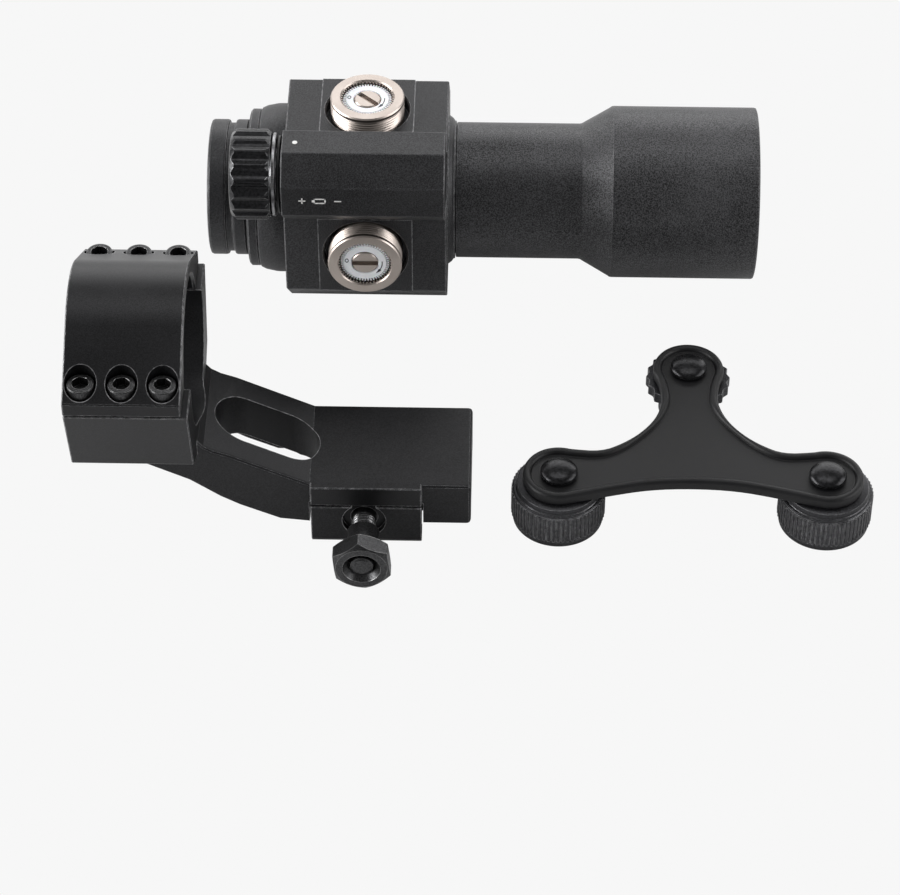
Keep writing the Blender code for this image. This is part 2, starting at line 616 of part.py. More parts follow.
def make_turret_cap(group, name, place, black, rubber):
    """A knurled dust cap, open below, with a thread bore sized for the turret collars."""
    at = (*place, 0)
    profile = [(CAP_BORE_R, 0), (CAP_R - 0.4, 0), (CAP_R, KNURL_LOW), (CAP_R, KNURL_TOP)]
    profile += [(8.9, KNURL_TOP + 0.2), (8.7, CAP_TOP - 0.3), (8.3, CAP_TOP)]
    profile += [(2.0, CAP_TOP), (2.0, CAP_TOP - 1.2), (0, CAP_TOP - 1.2), (0, CAP_DEPTH), (CAP_BORE_R, CAP_DEPTH)]
    add(name, turned(profile, 32), group, at, material=black)
    seal = pipe(CAP_BORE_R - 0.3, 6.6, CAP_DEPTH - 1.3, CAP_DEPTH - 0.3, 0.2, FEW)
    add(f"{name}_seal", seal, group, at, material=rubber)


def make_battery_cap(group, place, black, brass):
    """A thin scalloped cap whose threaded plug closes the knob's battery hole."""
    points = []
    scallops = 20
    for scallop in range(scallops):
        for part, dip in ((0.0, 0.55), (0.25, 0.12), (0.5, 0.0), (0.75, 0.12)):
            angle = 2 * pi * (scallop + part) / scallops
            radius = 9.1 - dip
            points.append((radius * cos(angle), radius * sin(angle)))
    at = (*place, 0)
    cap = add("battery_cap", prism(points, 7.4, CAP_TOP), group, at, material=black)
    plug = [(4.6, 0.8), (5.7, 0.8), (6.0, 1.1), (6.0, 7.6), (4.6, 7.6)]
    boolean(cap, add("cap_plug", turned(plug, FEW), group, at), "UNION")
    boolean(cap, add("battery_cap_hole", rod(2.0, CAP_TOP - 1.2, 12, steps=20), group, at))
    contact = [(0, 0), (3.6, 0), (4.3, 0.9), (4.3, 7.1), (0, 7.1)]
    add("battery_cap_contact", turned(contact, 20, closed=False), group, at, material=brass)


def make_rivet(group, name, place, gloss):
    """A domed rivet that lets its cap turn under the strap."""
    dome = [(RIVET_R * cos(radians(a)), STRAP_FLOOR + 0.6 + 1.5 * sin(radians(a))) for a in (0, 25, 50, 72)]
    profile = [(0, CAP_TOP - 0.9), (1.7, CAP_TOP - 0.9), (1.7, STRAP_FLOOR + 0.3), (RIVET_R, STRAP_FLOOR + 0.3)]
    profile += dome + [(0, STRAP_FLOOR + 2.1)]
    add(f"{name}_rivet", turned(profile, 20, closed=False), group, (*place, 0), material=gloss)


def make_tether(looks):
    group = anchor("strap_middle", STRAP_AT)
    make_strap(group, looks["rubber"])
    places = cap_places()
    for name in ("elevation_cap", "windage_cap"):
        make_turret_cap(group, name, places[name], looks["black"], looks["rubber"])
    make_battery_cap(group, places["battery_cap"], looks["black"], looks["bronze"])
    for name, place in places.items():
        make_rivet(group, name, place, looks["gloss"])


def make_looks():
    return {
        "black": finish("black_anodised", (0.035, 0.035, 0.037), 0.5, 0.6),
        "satin": finish("satin_black_anodised", (0.04, 0.04, 0.042), 0.42, 0.6),
        "gloss": finish("gloss_black", (0.02, 0.02, 0.02), 0.3, 0.0),
        "rubber": finish("black_rubber", (0.02, 0.02, 0.02), 0.55, 0.0),
        "bronze": finish("nickel_bronze", (0.55, 0.50, 0.45), 0.3, 1.0),
        "dial": finish("white_dial", (0.8, 0.82, 0.85), 0.4, 0.0),
        "steel": finish("steel", (0.6, 0.6, 0.6), 0.35, 1.0),
        "dark_steel": finish("black_oxide_steel", (0.08, 0.08, 0.085), 0.35, 1.0),
        "glass": finish("coated_glass", (0.35, 0.2, 0.25), 0.05, 0.0),
        "red": finish("red_emitter", (0.6, 0.02, 0.02), 0.3, 0.0),
        "green": finish("circuit_green", (0.02, 0.15, 0.06), 0.5, 0.0),
    }


clear_scene()
finishes = make_looks()
make_sight(finishes)
make_mount(finishes)
make_tether(finishes)
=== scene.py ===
from math import acos, atan2, cos, hypot, pi, radians, sin, sqrt

import bmesh
import bpy
from mathutils import Matrix, Vector


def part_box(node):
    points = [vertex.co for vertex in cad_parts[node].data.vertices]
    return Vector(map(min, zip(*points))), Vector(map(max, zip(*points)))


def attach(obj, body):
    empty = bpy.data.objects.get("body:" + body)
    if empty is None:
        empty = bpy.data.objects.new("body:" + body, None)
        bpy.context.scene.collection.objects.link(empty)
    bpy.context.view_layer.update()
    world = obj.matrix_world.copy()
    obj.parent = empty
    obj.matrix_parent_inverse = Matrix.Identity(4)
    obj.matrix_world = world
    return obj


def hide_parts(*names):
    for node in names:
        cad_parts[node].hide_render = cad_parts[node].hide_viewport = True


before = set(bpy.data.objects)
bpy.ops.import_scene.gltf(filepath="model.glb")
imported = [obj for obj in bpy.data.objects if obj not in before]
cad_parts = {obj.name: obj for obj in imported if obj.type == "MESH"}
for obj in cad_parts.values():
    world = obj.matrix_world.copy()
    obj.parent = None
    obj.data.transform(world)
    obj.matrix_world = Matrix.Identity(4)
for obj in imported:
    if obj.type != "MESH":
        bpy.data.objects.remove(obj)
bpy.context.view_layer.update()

# ------------------------------------------------------------------ bead-blasted housing metal
# The sight's body is machined aluminium, bead-blasted to an even matte grain and then dyed black in
# the anodising bath. The dye is thinnest on the arrises, so they show a paler, brighter line.


def linear(code):
    """An sRGB hex colour as linear red, green, blue and alpha."""
    parts = [int(code[i : i + 2], 16) / 255 for i in (0, 2, 4)]
    return (*[c / 12.92 if c <= 0.04045 else ((c + 0.055) / 1.055) ** 2.4 for c in parts], 1.0)


def put(tree, kind, inputs=None, **settings):
    """Adds a node. Inputs are values or other nodes' outputs, by socket name or number."""
    made = tree.nodes.new(kind)
    for name, value in settings.items():
        setattr(made, name, value)
    for name, value in (inputs or {}).items():
        if isinstance(value, bpy.types.NodeSocket):
            tree.links.new(value, made.inputs[name])
        else:
            made.inputs[name].default_value = value
    return made


def blend(tree, factor, low, high):
    """Mixes two hex colours by a factor."""
    return put(tree, "ShaderNodeMix", {0: factor, 6: linear(low), 7: linear(high)}, data_type="RGBA")


def repaint(finish, *node_names):
    """Gives CAD parts a finish of their own."""
    for node_name in node_names:
        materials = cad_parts[node_name].data.materials
        materials.clear()
        materials.append(finish)


def new_surface(name):
    """An empty material: its tree, its Principled shader and its object coordinates."""
    material = bpy.data.materials.new(name)
    material.use_nodes = True
    tree = material.node_tree
    shader = tree.nodes["Principled BSDF"]
    coordinates = put(tree, "ShaderNodeTexCoord").outputs["Object"]
    return material, tree, shader, coordinates


def coated_metal(name, dye, pale, worn, metallic, roughness, grain_mm, bump, edge_mm, wear):
    """A dyed or blackened metal: fine grain, slow drift in tone, and bare metal on its arrises."""
    material, tree, shader, place = new_surface(name)
    grain = put(tree, "ShaderNodeTexNoise", {"Vector": place, "Scale": 1000 / grain_mm, "Detail": 2.0})
    drift = put(tree, "ShaderNodeTexNoise", {"Vector": place, "Scale": 70.0, "Detail": 3.0})
    speck = put(tree, "ShaderNodeMapRange", {0: grain.outputs[0], 1: 0.38, 2: 0.66, 3: 0.0, 4: 1.0})
    slow = put(tree, "ShaderNodeMapRange", {0: drift.outputs[0], 1: 0.3, 2: 0.75, 3: 0.0, 4: 0.35})
    tone = put(tree, "ShaderNodeMath", {0: speck.outputs[0], 1: slow.outputs[0]}, operation="ADD")
    dyed = blend(tree, tone.outputs[0], dye, pale)
    rounded = put(tree, "ShaderNodeBevel", {"Radius": edge_mm / 1000}, samples=6)
    shaded = put(tree, "ShaderNodeNewGeometry").outputs["Normal"]
    turn = put(tree, "ShaderNodeVectorMath", {0: rounded.outputs[0], 1: shaded}, operation="DOT_PRODUCT")
    edge = put(tree, "ShaderNodeMapRange", {0: turn.outputs["Value"], 1: 0.985, 2: 0.9, 3: 0.0, 4: 1.0})
    scuff = put(tree, "ShaderNodeTexNoise", {"Vector": place, "Scale": 900.0, "Detail": 4.0})
    patchy = put(tree, "ShaderNodeMapRange", {0: scuff.outputs[0], 1: 0.35, 2: 0.65, 3: 0.25, 4: 1.0})
    bare = put(tree, "ShaderNodeMath", {0: edge.outputs[0], 1: patchy.outputs[0]}, operation="MULTIPLY")
    bare = put(tree, "ShaderNodeMath", {0: bare.outputs[0], 1: wear}, operation="MULTIPLY", use_clamp=True)
    colour = put(
        tree,
        "ShaderNodeMix",
        {0: bare.outputs[0], 6: dyed.outputs[2], 7: linear(worn)},
        data_type="RGBA",
        clamp_factor=True,
    )
    rough = put(tree, "ShaderNodeMapRange", {0: drift.outputs[0], 3: roughness - 0.06, 4: roughness + 0.06})
    relief = put(
        tree,
        "ShaderNodeBump",
        {"Height": grain.outputs[0], "Strength": bump, "Distance": 0.00004},
    )
    tree.links.new(colour.outputs[2], shader.inputs["Base Color"])
    tree.links.new(rough.outputs[0], shader.inputs["Roughness"])
    tree.links.new(relief.outputs[0], shader.inputs["Normal"])
    shader.inputs["Metallic"].default_value = metallic
    return material


# Blasted with fine glass bead: a dull grey-black with a grain of about 0.3 mm and soft pale corners.
blasted_black = coated_metal(
    "bead_blasted_anodised_aluminium", "141415", "3a3a3c", "a6a6a8", 0.55, 0.46, 0.22, 0.9, 0.3, 1.0
)


def mm_box(node):
    """A node's lowest and highest corners, in millimetres."""
    low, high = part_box(node)
    return Vector(low) * 1000, Vector(high) * 1000


def facing(axis, at):
    """Turns local Z onto an axis and moves it to a place, in millimetres."""
    turns = {"Z": (0, 0, 0), "X": (0, pi / 2, 0), "-X": (0, -pi / 2, 0), "-Y": (pi / 2, 0, 0),
        "Y": (-pi / 2, 0, 0)}
    x, y, z = turns[axis]
    turn = Matrix.Rotation(z, 4, "Z") @ Matrix.Rotation(y, 4, "Y") @ Matrix.Rotation(x, 4, "X")
    return Matrix.Translation(Vector(at)) @ turn


def make(name, bm, at=(0, 0, 0), axis="Z", material=None, sharp=18):
    """Turns a bmesh drawn in millimetres into an object at the origin, with its place in its mesh."""
    bmesh.ops.remove_doubles(bm, verts=bm.verts, dist=0.001)
    bmesh.ops.transform(bm, matrix=Matrix.Scale(0.001, 4) @ facing(axis, at), verts=bm.verts)
    bmesh.ops.recalc_face_normals(bm, faces=bm.faces)
    mesh = bpy.data.meshes.new(name)
    bm.to_mesh(mesh)
    bm.free()
    mesh.shade_smooth()
    mesh.set_sharp_from_angle(angle=radians(sharp))
    obj = bpy.data.objects.new(name, mesh)
    bpy.context.scene.collection.objects.link(obj)
    if material:
        mesh.materials.append(material)
    return obj


def turned(profile, steps=144, closed=True):
    """Turns (radius, height) points about Z. A closed profile makes a ring, an open one meets the axis."""
    bm = bmesh.new()
    rows = []
    for radius, height in profile:
        if radius < 1e-6:
            rows.append([bm.verts.new((0, 0, height))] * steps)
            continue
        angles = [2 * pi * i / steps for i in range(steps)]
        rows.append([bm.verts.new((radius * cos(a), radius * sin(a), height)) for a in angles])
    pairs = list(zip(rows, rows[1:]))
    if closed:
        pairs.append((rows[-1], rows[0]))
    for low, high in pairs:
        for i in range(steps):
            j = (i + 1) % steps
            corners = list(dict.fromkeys((low[i], low[j], high[j], high[i])))
            if len(corners) > 2:
                bm.faces.new(corners)
    return bm


def prism(outline, low, high):
    """An outline in the XY plane, raised from low to high."""
    bm = bmesh.new()
    floor_points = [bm.verts.new((x, y, low)) for x, y in outline]
    roof_points = [bm.verts.new((x, y, high)) for x, y in outline]
    bm.faces.new(floor_points)
    bm.faces.new(roof_points)
    for i in range(len(outline)):
        j = (i + 1) % len(outline)
        bm.faces.new((floor_points[i], floor_points[j], roof_points[j], roof_points[i]))
    return bm


def across(outline, low, high, plane="YZ"):
    """A prism whose outline is (y, z) along X, or (x, z) along Y."""
    bm = prism(outline, low, high)
    if plane == "YZ":
        turn = Matrix(((0, 0, 1, 0), (1, 0, 0, 0), (0, 1, 0, 0), (0, 0, 0, 1)))
    else:
        turn = Matrix(((1, 0, 0, 0), (0, 0, 1, 0), (0, 1, 0, 0), (0, 0, 0, 1)))
    bmesh.ops.transform(bm, matrix=turn, verts=bm.verts)
    return bm


def rod(radius, low, high, steps=96):
    return turned([(0, low), (radius, low), (radius, high), (0, high)], steps, closed=False)


def combine(obj, tools, operation="DIFFERENCE"):
    """Adds one Boolean for each tool. They are worked out later, by settle."""
    for tool in tools:
        modifier = obj.modifiers.new("shape", "BOOLEAN")
        modifier.operation = operation
        modifier.object = tool
        modifier.solver = "MANIFOLD"


def soften(obj, width_mm, segments=2, angle=28):
    modifier = obj.modifiers.new("edge", "BEVEL")
    modifier.width = width_mm / 1000
    modifier.segments = segments
    modifier.limit_method = "ANGLE"
    modifier.angle_limit = radians(angle)
    modifier.use_clamp_overlap = True


def worked_out(obj):
    """The object's mesh with its modifiers applied."""
    bpy.context.view_layer.update()
    return bpy.data.meshes.new_from_object(obj.evaluated_get(bpy.context.evaluated_depsgraph_get()))


def settle(obj, material, sharp=18):
    """Works out the modifiers, drops the tools and leaves one plain mesh with crisp flats."""
    mesh = worked_out(obj)
    tools = [m.object for m in obj.modifiers if m.type == "BOOLEAN"]
    obj.modifiers.clear()
    obj.data = mesh
    clean = bmesh.new()
    clean.from_mesh(mesh)
    bmesh.ops.remove_doubles(clean, verts=clean.verts, dist=2e-6)
    bmesh.ops.dissolve_degenerate(clean, edges=clean.edges, dist=1e-6)
    clean.to_mesh(mesh)
    clean.free()
    for tool in tools:
        bpy.data.objects.remove(tool)
    mesh.shade_smooth()
    mesh.set_sharp_from_angle(angle=radians(sharp))
    obj.modifiers.new("flats", "WEIGHTED_NORMAL").keep_sharp = True
    obj.data = worked_out(obj)
    obj.modifiers.clear()
    obj.data.materials.clear()
    obj.data.materials.append(material)
    return obj


def stand(piece, body, slot, *nodes):
    """Rides a piece on its body and hides the CAD nodes it stands for. The slot is not used."""
    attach(piece, body)
    if nodes:
        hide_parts(*nodes)


# ------------------------------------------------------------------ turret housing
# The square block in the middle of the sight, with the rear barrel and flange turned on one end and
# a short neck on the other. Shallow raised pads and round wells are milled where the turrets go in.

tube_low, tube_high = mm_box("objective_tube")
collar_low, collar_high = mm_box("elevation_collar")
axis_y = (tube_low.y + tube_high.y) / 2
axis_z = (tube_low.z + tube_high.z) / 2
turret_x = (collar_low.x + collar_high.x) / 2
sight = Vector((turret_x, axis_y, axis_z))

block_half = axis_z
flat_half = 10.5
block_reach = 17.6
bore_r = 13.2
well_r = 9.1
well_floor = 19.6


def chamfered_square(half, flat):
    """A square section with 45 degree chamfers, as (y, z) points."""
    points = []
    for quarter in range(4):
        c = round(cos(quarter * pi / 2))
        s = round(sin(quarter * pi / 2))
        points += [(c * y - s * z, s * y + c * z) for y, z in ((half, -flat), (half, flat))]
    return points


def rounded_box(x0, x1, y0, y1, radius, corners=(1, 1, 1, 1), steps=8):
    """A rectangle with the chosen corners rounded: low left, low right, high right, high left."""
    centres = ((x0 + radius, y0 + radius), (x1 - radius, y0 + radius), (x1 - radius, y1 - radius),
        (x0 + radius, y1 - radius))
    sharp = ((x0, y0), (x1, y0), (x1, y1), (x0, y1))
    outline = []
    for i, (cx, cy) in enumerate(centres):
        if not corners[i]:
            outline.append(sharp[i])
            continue
        for step in range(steps + 1):
            angle = pi + pi / 2 * (i + step / steps)
            outline.append((cx + radius * cos(angle), cy + radius * sin(angle)))
    return outline


section = chamfered_square(block_half, flat_half)
housing = make("sight_housing_shell", across(section, -block_reach, block_reach), sight)
soften(housing, 0.2, 1)

pad = rounded_box(-10.2, 10.2, -flat_half + 0.6, flat_half, 3.0, (1, 1, 0, 0))
top_pad = make("top_pad", prism(pad, block_half - 1, block_half + 0.28), sight)
side_outline = rounded_box(-10.2, 10.2, -flat_half, flat_half - 0.6, 3.0, (0, 0, 0, 0))
side_pad = make("side_pad", across(side_outline, -block_half - 0.28, -block_half + 1, "XZ"), sight)

barrel = [(bore_r, -23.7), (bore_r, -26.2), (17.0, -26.2), (17.4, -25.8), (17.4, -24.1), (17.2, -23.9)]
barrel += [(17.7, -23.7), (18.2, -22.6), (18.65, -20.4), (18.7, -19.5), (18.7, -16.0), (bore_r, -16.0)]
rear_barrel = make("rear_barrel", turned(barrel, 192), sight, "X")
neck = [(bore_r, 16.0), (16.6, 16.0), (16.5, 17.8), (15.9, 18.6), (15.3, 19.0), (15.25, 19.3), (bore_r, 19.3)]
front_neck = make("front_neck", turned(neck, 192), sight, "X")
combine(housing, (top_pad, side_pad, rear_barrel, front_neck), "UNION")

pod_low, pod_high = mm_box("battery_tube")
pod = Vector((turret_x, (pod_low.y + pod_high.y) / 2, (pod_low.z + pod_high.z) / 2))
pod_half = (pod_high.z - pod_low.z) / 2


def regular(count, apothem, turn=0.0):
    """Corners of a regular polygon, with one flat facing the turn angle."""
    corner = apothem / cos(pi / count)
    angles = [turn + pi * (2 * i + 1) / count for i in range(count)]
    return [(corner * cos(a), corner * sin(a)) for a in angles]


tools = [make("main_bore", rod(bore_r + 0.8, -40, 40, 144), sight, "X")]
tools.append(make("rear_thread", rod(14.3, -30, -21.5, 144), sight, "X"))
tools.append(make("pod_seat", across(regular(8, pod_half + 0.12, pi / 4), -40, 40), pod))
well = [(0, -0.02), (well_r, -0.02), (well_r, 2.55), (well_r + 0.3, 2.9), (well_r + 0.3, 8), (0, 8)]
for turret_axis, at in (("Z", sight + Vector((0, 0, well_floor))), ("-Y", sight - Vector((0, well_floor, 0)))):
    tools.append(make("well", turned(well, 144, closed=False), at, turret_axis))
    tools.append(make("screw_way", rod(3.0, -10, 5, 48), at, turret_axis))
combine(housing, tools)
settle(housing, blasted_black)
stand(housing, "sight", "black_anodised", "sight_housing")

# ------------------------------------------------------------------ front tube and hood
# One long turning: a straight 30 mm tube that the ring mount would clamp, a cone, and the hood that
# shades the front lens. Its inside is cut with fine steps that stop stray light.

cone_start = 46.9
hood_start = 53.8
hood_r = (tube_high.z - tube_low.z) / 2
hood_end = tube_high.x - turret_x
hood_in = hood_r - 1.5
lens_seat = hood_start - 4.5

# The tube and hood get a coarser, paler copy of the housing's black. The stronger grain is the turned faces'
# own, and the paler speckle is partly painted light that makes them brighter than the housing.
coarse_and_lit_black = coated_metal(
    "coarse_and_painted_light_anodised_aluminium", "0d0d0e", "535355", "a6a6a8", 0.55, 0.46, 0.26, 1.0, 0.3, 0.9
)
profile = [(bore_r - 1, 12), (bore_r + 0.5, 12), (bore_r + 0.5, 19.45), (14.85, 19.45), (15, 19.6),
    (15, cone_start - 0.3)]
profile += [(15.1, cone_start + 0.2), (hood_r - 0.35, hood_start - 0.5), (hood_r - 0.06, hood_start - 0.1)]
profile += [(hood_r, hood_start + 0.4), (hood_r, hood_end - 0.45), (hood_r - 0.12, hood_end - 0.12)]
profile += [(hood_r - 0.45, hood_end), (hood_in + 0.3, hood_end), (hood_in, hood_end - 0.3)]
groove_pitch = 0.9
groove_count = int((hood_end - hood_start - 6) / groove_pitch)
for groove in range(groove_count):
    height = hood_end - 2.5 - groove * groove_pitch
    profile += [(hood_in, height), (hood_in + 0.3, height - groove_pitch / 2)]
profile += [(hood_in, hood_start + 1.5), (15.6, hood_start + 1.5), (15.6, lens_seat), (13.4, lens_seat)]
profile += [(13.4, 19.6), (bore_r - 1, 18.6)]
# The tube takes the paler copy of the black finish, which is partly painted light.
front_tube = make("front_tube", turned(profile, 224), sight, "X", coarse_and_lit_black)
stand(front_tube, "sight", "black_anodised", "objective_tube")

# ------------------------------------------------------------------ eyepiece ring
# A short black ring screwed into the rear barrel. It has two plain bands with a groove between them
# for the fingers, and it traps the rear lens against a shoulder.

eye_low = mm_box("eyepiece_ring")[0]
rear_end = eye_low.x - turret_x
profile = [(10.6, rear_end + 1.6), (13.4, rear_end + 0.1), (14.3, rear_end), (14.8, rear_end + 0.18)]
profile += [(15, rear_end + 0.6), (15, -31.5), (14.85, -31.1), (14.35, -31.0), (14.25, -30.9), (14.25, -29.7)]
profile += [(14.35, -29.6), (14.85, -29.45), (15, -29.1), (15, -26.9), (14.7, -26.5), (13.9, -26.5)]
profile += [(13.9, -23), (12.9, -23), (12.9, rear_end + 4), (10.6, rear_end + 4)]
eyepiece = make("eyepiece_band", turned(profile, 192), sight, "X", blasted_black)
stand(eyepiece, "sight", "black_anodised", "eyepiece_ring")

# ------------------------------------------------------------------ lenses
# Crown glass with a purple-red anti-reflection coating on its faces and blackened edges. It is clear
# from the front, and the coating tints only what it mirrors.

coated_glass, tree, shader, place = new_surface("coated_optical_glass")
sheen = put(tree, "ShaderNodeLayerWeight", {"Blend": 0.35})
film = blend(tree, sheen.outputs["Facing"], "f3e4ea", "b05a6e")
tree.links.new(film.outputs[2], shader.inputs["Base Color"])
shader.inputs["Roughness"].default_value = 0.02
shader.inputs["IOR"].default_value = 1.52
shader.inputs["Transmission Weight"].default_value = 0.9
shader.inputs["Coat Weight"].default_value = 0.6
shader.inputs["Coat Roughness"].default_value = 0.02
shader.inputs["Coat Tint"].default_value = linear("ff9ab4")


def bulge(radius, sagitta, height, steps=10):
    """Points of a shallow spherical face, from the axis out to its rim."""
    return [(radius * i / steps, height + sagitta * (1 - (i / steps) ** 2)) for i in range(steps + 1)]


rear_face = rear_end + 4.3
lens = [(r, h) for r, h in bulge(12.5, -0.6, rear_face + 0.6)]
lens += [(12.5, rear_face + 1.8), (0, rear_face + 1.8)]
rear_lens = make("rear_lens", turned(lens, 96, closed=False), sight, "X", coated_glass)
stand(rear_lens, "sight", "coated_glass", "ocular_lens")

lens = [(0, lens_seat + 0.3), (15.2, lens_seat + 0.3)]
lens += list(reversed(bulge(15.2, 1.5, lens_seat + 1.9)))
front_lens = make("front_lens", turned(lens, 96, closed=False), sight, "X", coated_glass)
stand(front_lens, "sight", "coated_glass", "objective_lens")

# ------------------------------------------------------------------ lens lock rings and inner tube
# Thin black rings hold both lenses, and the inner tube behind them carries the dot's reflector. They
# are machined, anodised parts, and sit too deep to be worn.

inner_black = coated_metal(
    "machined_anodised_aluminium", "151516", "29292b", "4c4c4e", 0.5, 0.5, 0.5, 0.3, 0.12, 0.3
)
ring_low = mm_box("objective_lock_ring")[0]
start = ring_low.x - turret_x
profile = [(13.6, start), (15.3, start), (15.3, start + 1.6), (15.0, start + 2), (14.2, start + 2),
    (13.6, start + 1.2)]
lock_ring = make("front_lock_ring", turned(profile, 144), sight, "X")
notches = []
for turn in (0, pi):
    notch = prism([(12, -0.7), (16, -0.7), (16, 0.7), (12, 0.7)], start + 1.0, start + 3)
    bmesh.ops.rotate(notch, verts=notch.verts, matrix=Matrix.Rotation(turn, 3, "Z"))
    notches.append(make("notch", notch, sight, "X"))
combine(lock_ring, notches)
settle(lock_ring, inner_black)
stand(lock_ring, "sight", "black_anodised", "objective_lock_ring")

repaint(inner_black, "ocular_lock_ring", "gimbal_ring", "erector_tube")
repaint(coated_glass, "reflector_lens")

# ------------------------------------------------------------------ emitter
# A small moulded red light-emitting diode in clear tinted epoxy.

red_epoxy, tree, shader, place = new_surface("tinted_epoxy")
cloud = put(tree, "ShaderNodeTexNoise", {"Vector": place, "Scale": 1500.0})
tint = blend(tree, cloud.outputs[0], "a01015", "d8262a")
tree.links.new(tint.outputs[2], shader.inputs["Base Color"])
shader.inputs["Roughness"].default_value = 0.15
shader.inputs["Coat Weight"].default_value = 0.5
repaint(red_epoxy, "dot_emitter")

# ------------------------------------------------------------------ battery tube
# An octagonal tube machined with the housing and laid along its chamfer. It is blasted and dyed
# like the rest, and its marks are filled with white paint.

pod_start, pod_end = pod_low.x - turret_x, pod_high.x - turret_x
tube = make("battery_barrel", across(regular(8, pod_half, pi / 4), pod_start, pod_end), pod)
soften(tube, 0.14, 1, 20)
hollow = make("battery_bore", rod(6.6, pod_start - 5, pod_end - 3, 96), pod, "X")
mouth = [(0, pod_start - 1), (8.1, pod_start - 1), (6.5, pod_start + 0.7), (0, pod_start + 0.7)]
combine(tube, (hollow, make("battery_mouth", turned(mouth, 96, closed=False), pod, "X")))
settle(tube, blasted_black)
stand(tube, "sight", "black_anodised", "battery_tube")

white_fill, tree, shader, place = new_surface("white_paint_fill")
fleck = put(tree, "ShaderNodeTexNoise", {"Vector": place, "Scale": 4000.0, "Detail": 3.0})
chalk = blend(tree, fleck.outputs[0], "c9c9c7", "f2f2f0")
tree.links.new(chalk.outputs[2], shader.inputs["Base Color"])
shader.inputs["Roughness"].default_value = 0.6


def box_loop(x, y, width, height, line):
    """Four thin bars round a rectangle, as (x0, x1, y0, y1)."""
    return [
        (x - width / 2, x + width / 2, y + height / 2 - line, y + height / 2),
        (x - width / 2, x + width / 2, y - height / 2, y - height / 2 + line),
        (x - width / 2, x - width / 2 + line, y - height / 2, y + height / 2),
        (x + width / 2 - line, x + width / 2, y - height / 2, y + height / 2),
    ]


def bars(name, rows, turn):
    """Thin bars lying on one facet of the battery tube. Turn 0 is its front facet, 90 its top."""
    bm = bmesh.new()
    for x0, x1, y0, y1 in rows:
        bar = prism([(x0, y0), (x1, y0), (x1, y1), (x0, y1)], pod_half - 0.05, pod_half + 0.025)
        lump = bpy.data.meshes.new("bar")
        bar.to_mesh(lump)
        bar.free()
        bm.from_mesh(lump)
        bpy.data.meshes.remove(lump)
    bmesh.ops.transform(bm, matrix=Matrix.Rotation(radians(90 - turn), 4, "X"), verts=bm.verts)
    mark = make(name, bm, pod, "Z", white_fill)
    stand(mark, "sight", "white_dial")


plus = [(-13.55, -12.05, 0.13, 0.41), (-12.94, -12.66, -0.48, 1.03)]
cell = box_loop(-9.05, 0.25, 2.6, 1.4, 0.28) + [(-10.7, -10.35, -0.05, 0.55)]
minus = [(-5.95, -4.45, 0.13, 0.41)]
bars("polarity_marks", plus + cell + minus, 0)
dot = prism([(0.55 * cos(a * pi / 12), 0.55 * sin(a * pi / 12)) for a in range(24)], pod_half - 0.05,
    pod_half + 0.025)
bmesh.ops.translate(dot, vec=(-14.5, -0.3, 0), verts=dot.verts)
mark = make("index_dot", dot, pod, "Z", white_fill)
stand(mark, "sight", "white_dial")

# ------------------------------------------------------------------ knob washer and seal
# A thin bright washer and a black rubber ring sit between the knob and the tube. The washer was
# stamped and polished, and the ring was moulded.

stamped_steel = coated_metal(
    "polished_stamped_steel", "6a6a6c", "959597", "dcdcdc", 1.0, 0.28, 0.4, 0.1, 0.08, 0.4
)
low, high = mm_box("knob_washer")
start, end, washer_r = low.x - turret_x, high.x - turret_x, (high.z - low.z) / 2
washer = [(7.0, start), (washer_r - 0.15, start), (washer_r, start + 0.15), (washer_r, end - 0.15)]
washer += [(washer_r - 0.15, end), (7.0, end)]
knob_washer = make("bright_washer", turned(washer, 128), pod, "X", stamped_steel)
stand(knob_washer, "knob", "steel", "knob_washer")

moulded_rubber, tree, shader, place = new_surface("moulded_black_rubber")
bloom = put(tree, "ShaderNodeTexNoise", {"Vector": place, "Scale": 160.0, "Detail": 4.0})
fine = put(tree, "ShaderNodeTexNoise", {"Vector": place, "Scale": 4200.0})
tint = blend(tree, bloom.outputs[0], "09090a", "151517")
dull = put(tree, "ShaderNodeMapRange", {0: bloom.outputs[0], 3: 0.4, 4: 0.54})
shader.inputs["Specular IOR Level"].default_value = 0.3
skin = put(tree, "ShaderNodeBump", {"Height": fine.outputs[0], "Strength": 0.25, "Distance": 0.00003})
tree.links.new(tint.outputs[2], shader.inputs["Base Color"])
tree.links.new(dull.outputs[0], shader.inputs["Roughness"])
tree.links.new(skin.outputs[0], shader.inputs["Normal"])
low, high = mm_box("knob_seal")
start, end, seal_r = low.x - turret_x, high.x - turret_x, (high.z - low.z) / 2
seal = [(7.0, start), (seal_r - 0.2, start), (seal_r, start + 0.15), (seal_r, end - 0.15),
    (seal_r - 0.2, end), (7.0, end)]
knob_seal = make("rubber_ring", turned(seal, 96), pod, "X", moulded_rubber)
stand(knob_seal, "sight", "black_rubber", "knob_seal")

# ------------------------------------------------------------------ brightness knob
# A turned aluminium knob with rounded flutes for the fingers, polished before it was dyed, so its
# ridges shine. Its open end is the battery's way in.

gloss_black = coated_metal(
    "polished_anodised_aluminium", "121213", "2b2b2d", "b4b4b6", 0.7, 0.27, 0.5, 0.15, 0.25, 1.0
)
knob_low, knob_high = mm_box("brightness_knob")
knob_r = (knob_high.z - knob_low.z) / 2
knob_start, knob_end = knob_low.x - turret_x, knob_high.x - turret_x
flutes = 18


def fluted(count, radius, depth, sharpness, per_flute=14):
    """A round outline with scooped flutes. A higher sharpness leaves narrower ridges."""
    outline = []
    for i in range(count * per_flute):
        scoop = (0.5 - 0.5 * cos(2 * pi * i / per_flute)) ** sharpness
        angle = 2 * pi * i / (count * per_flute)
        outline.append(((radius - depth * scoop) * cos(angle), (radius - depth * scoop) * sin(angle)))
    return outline


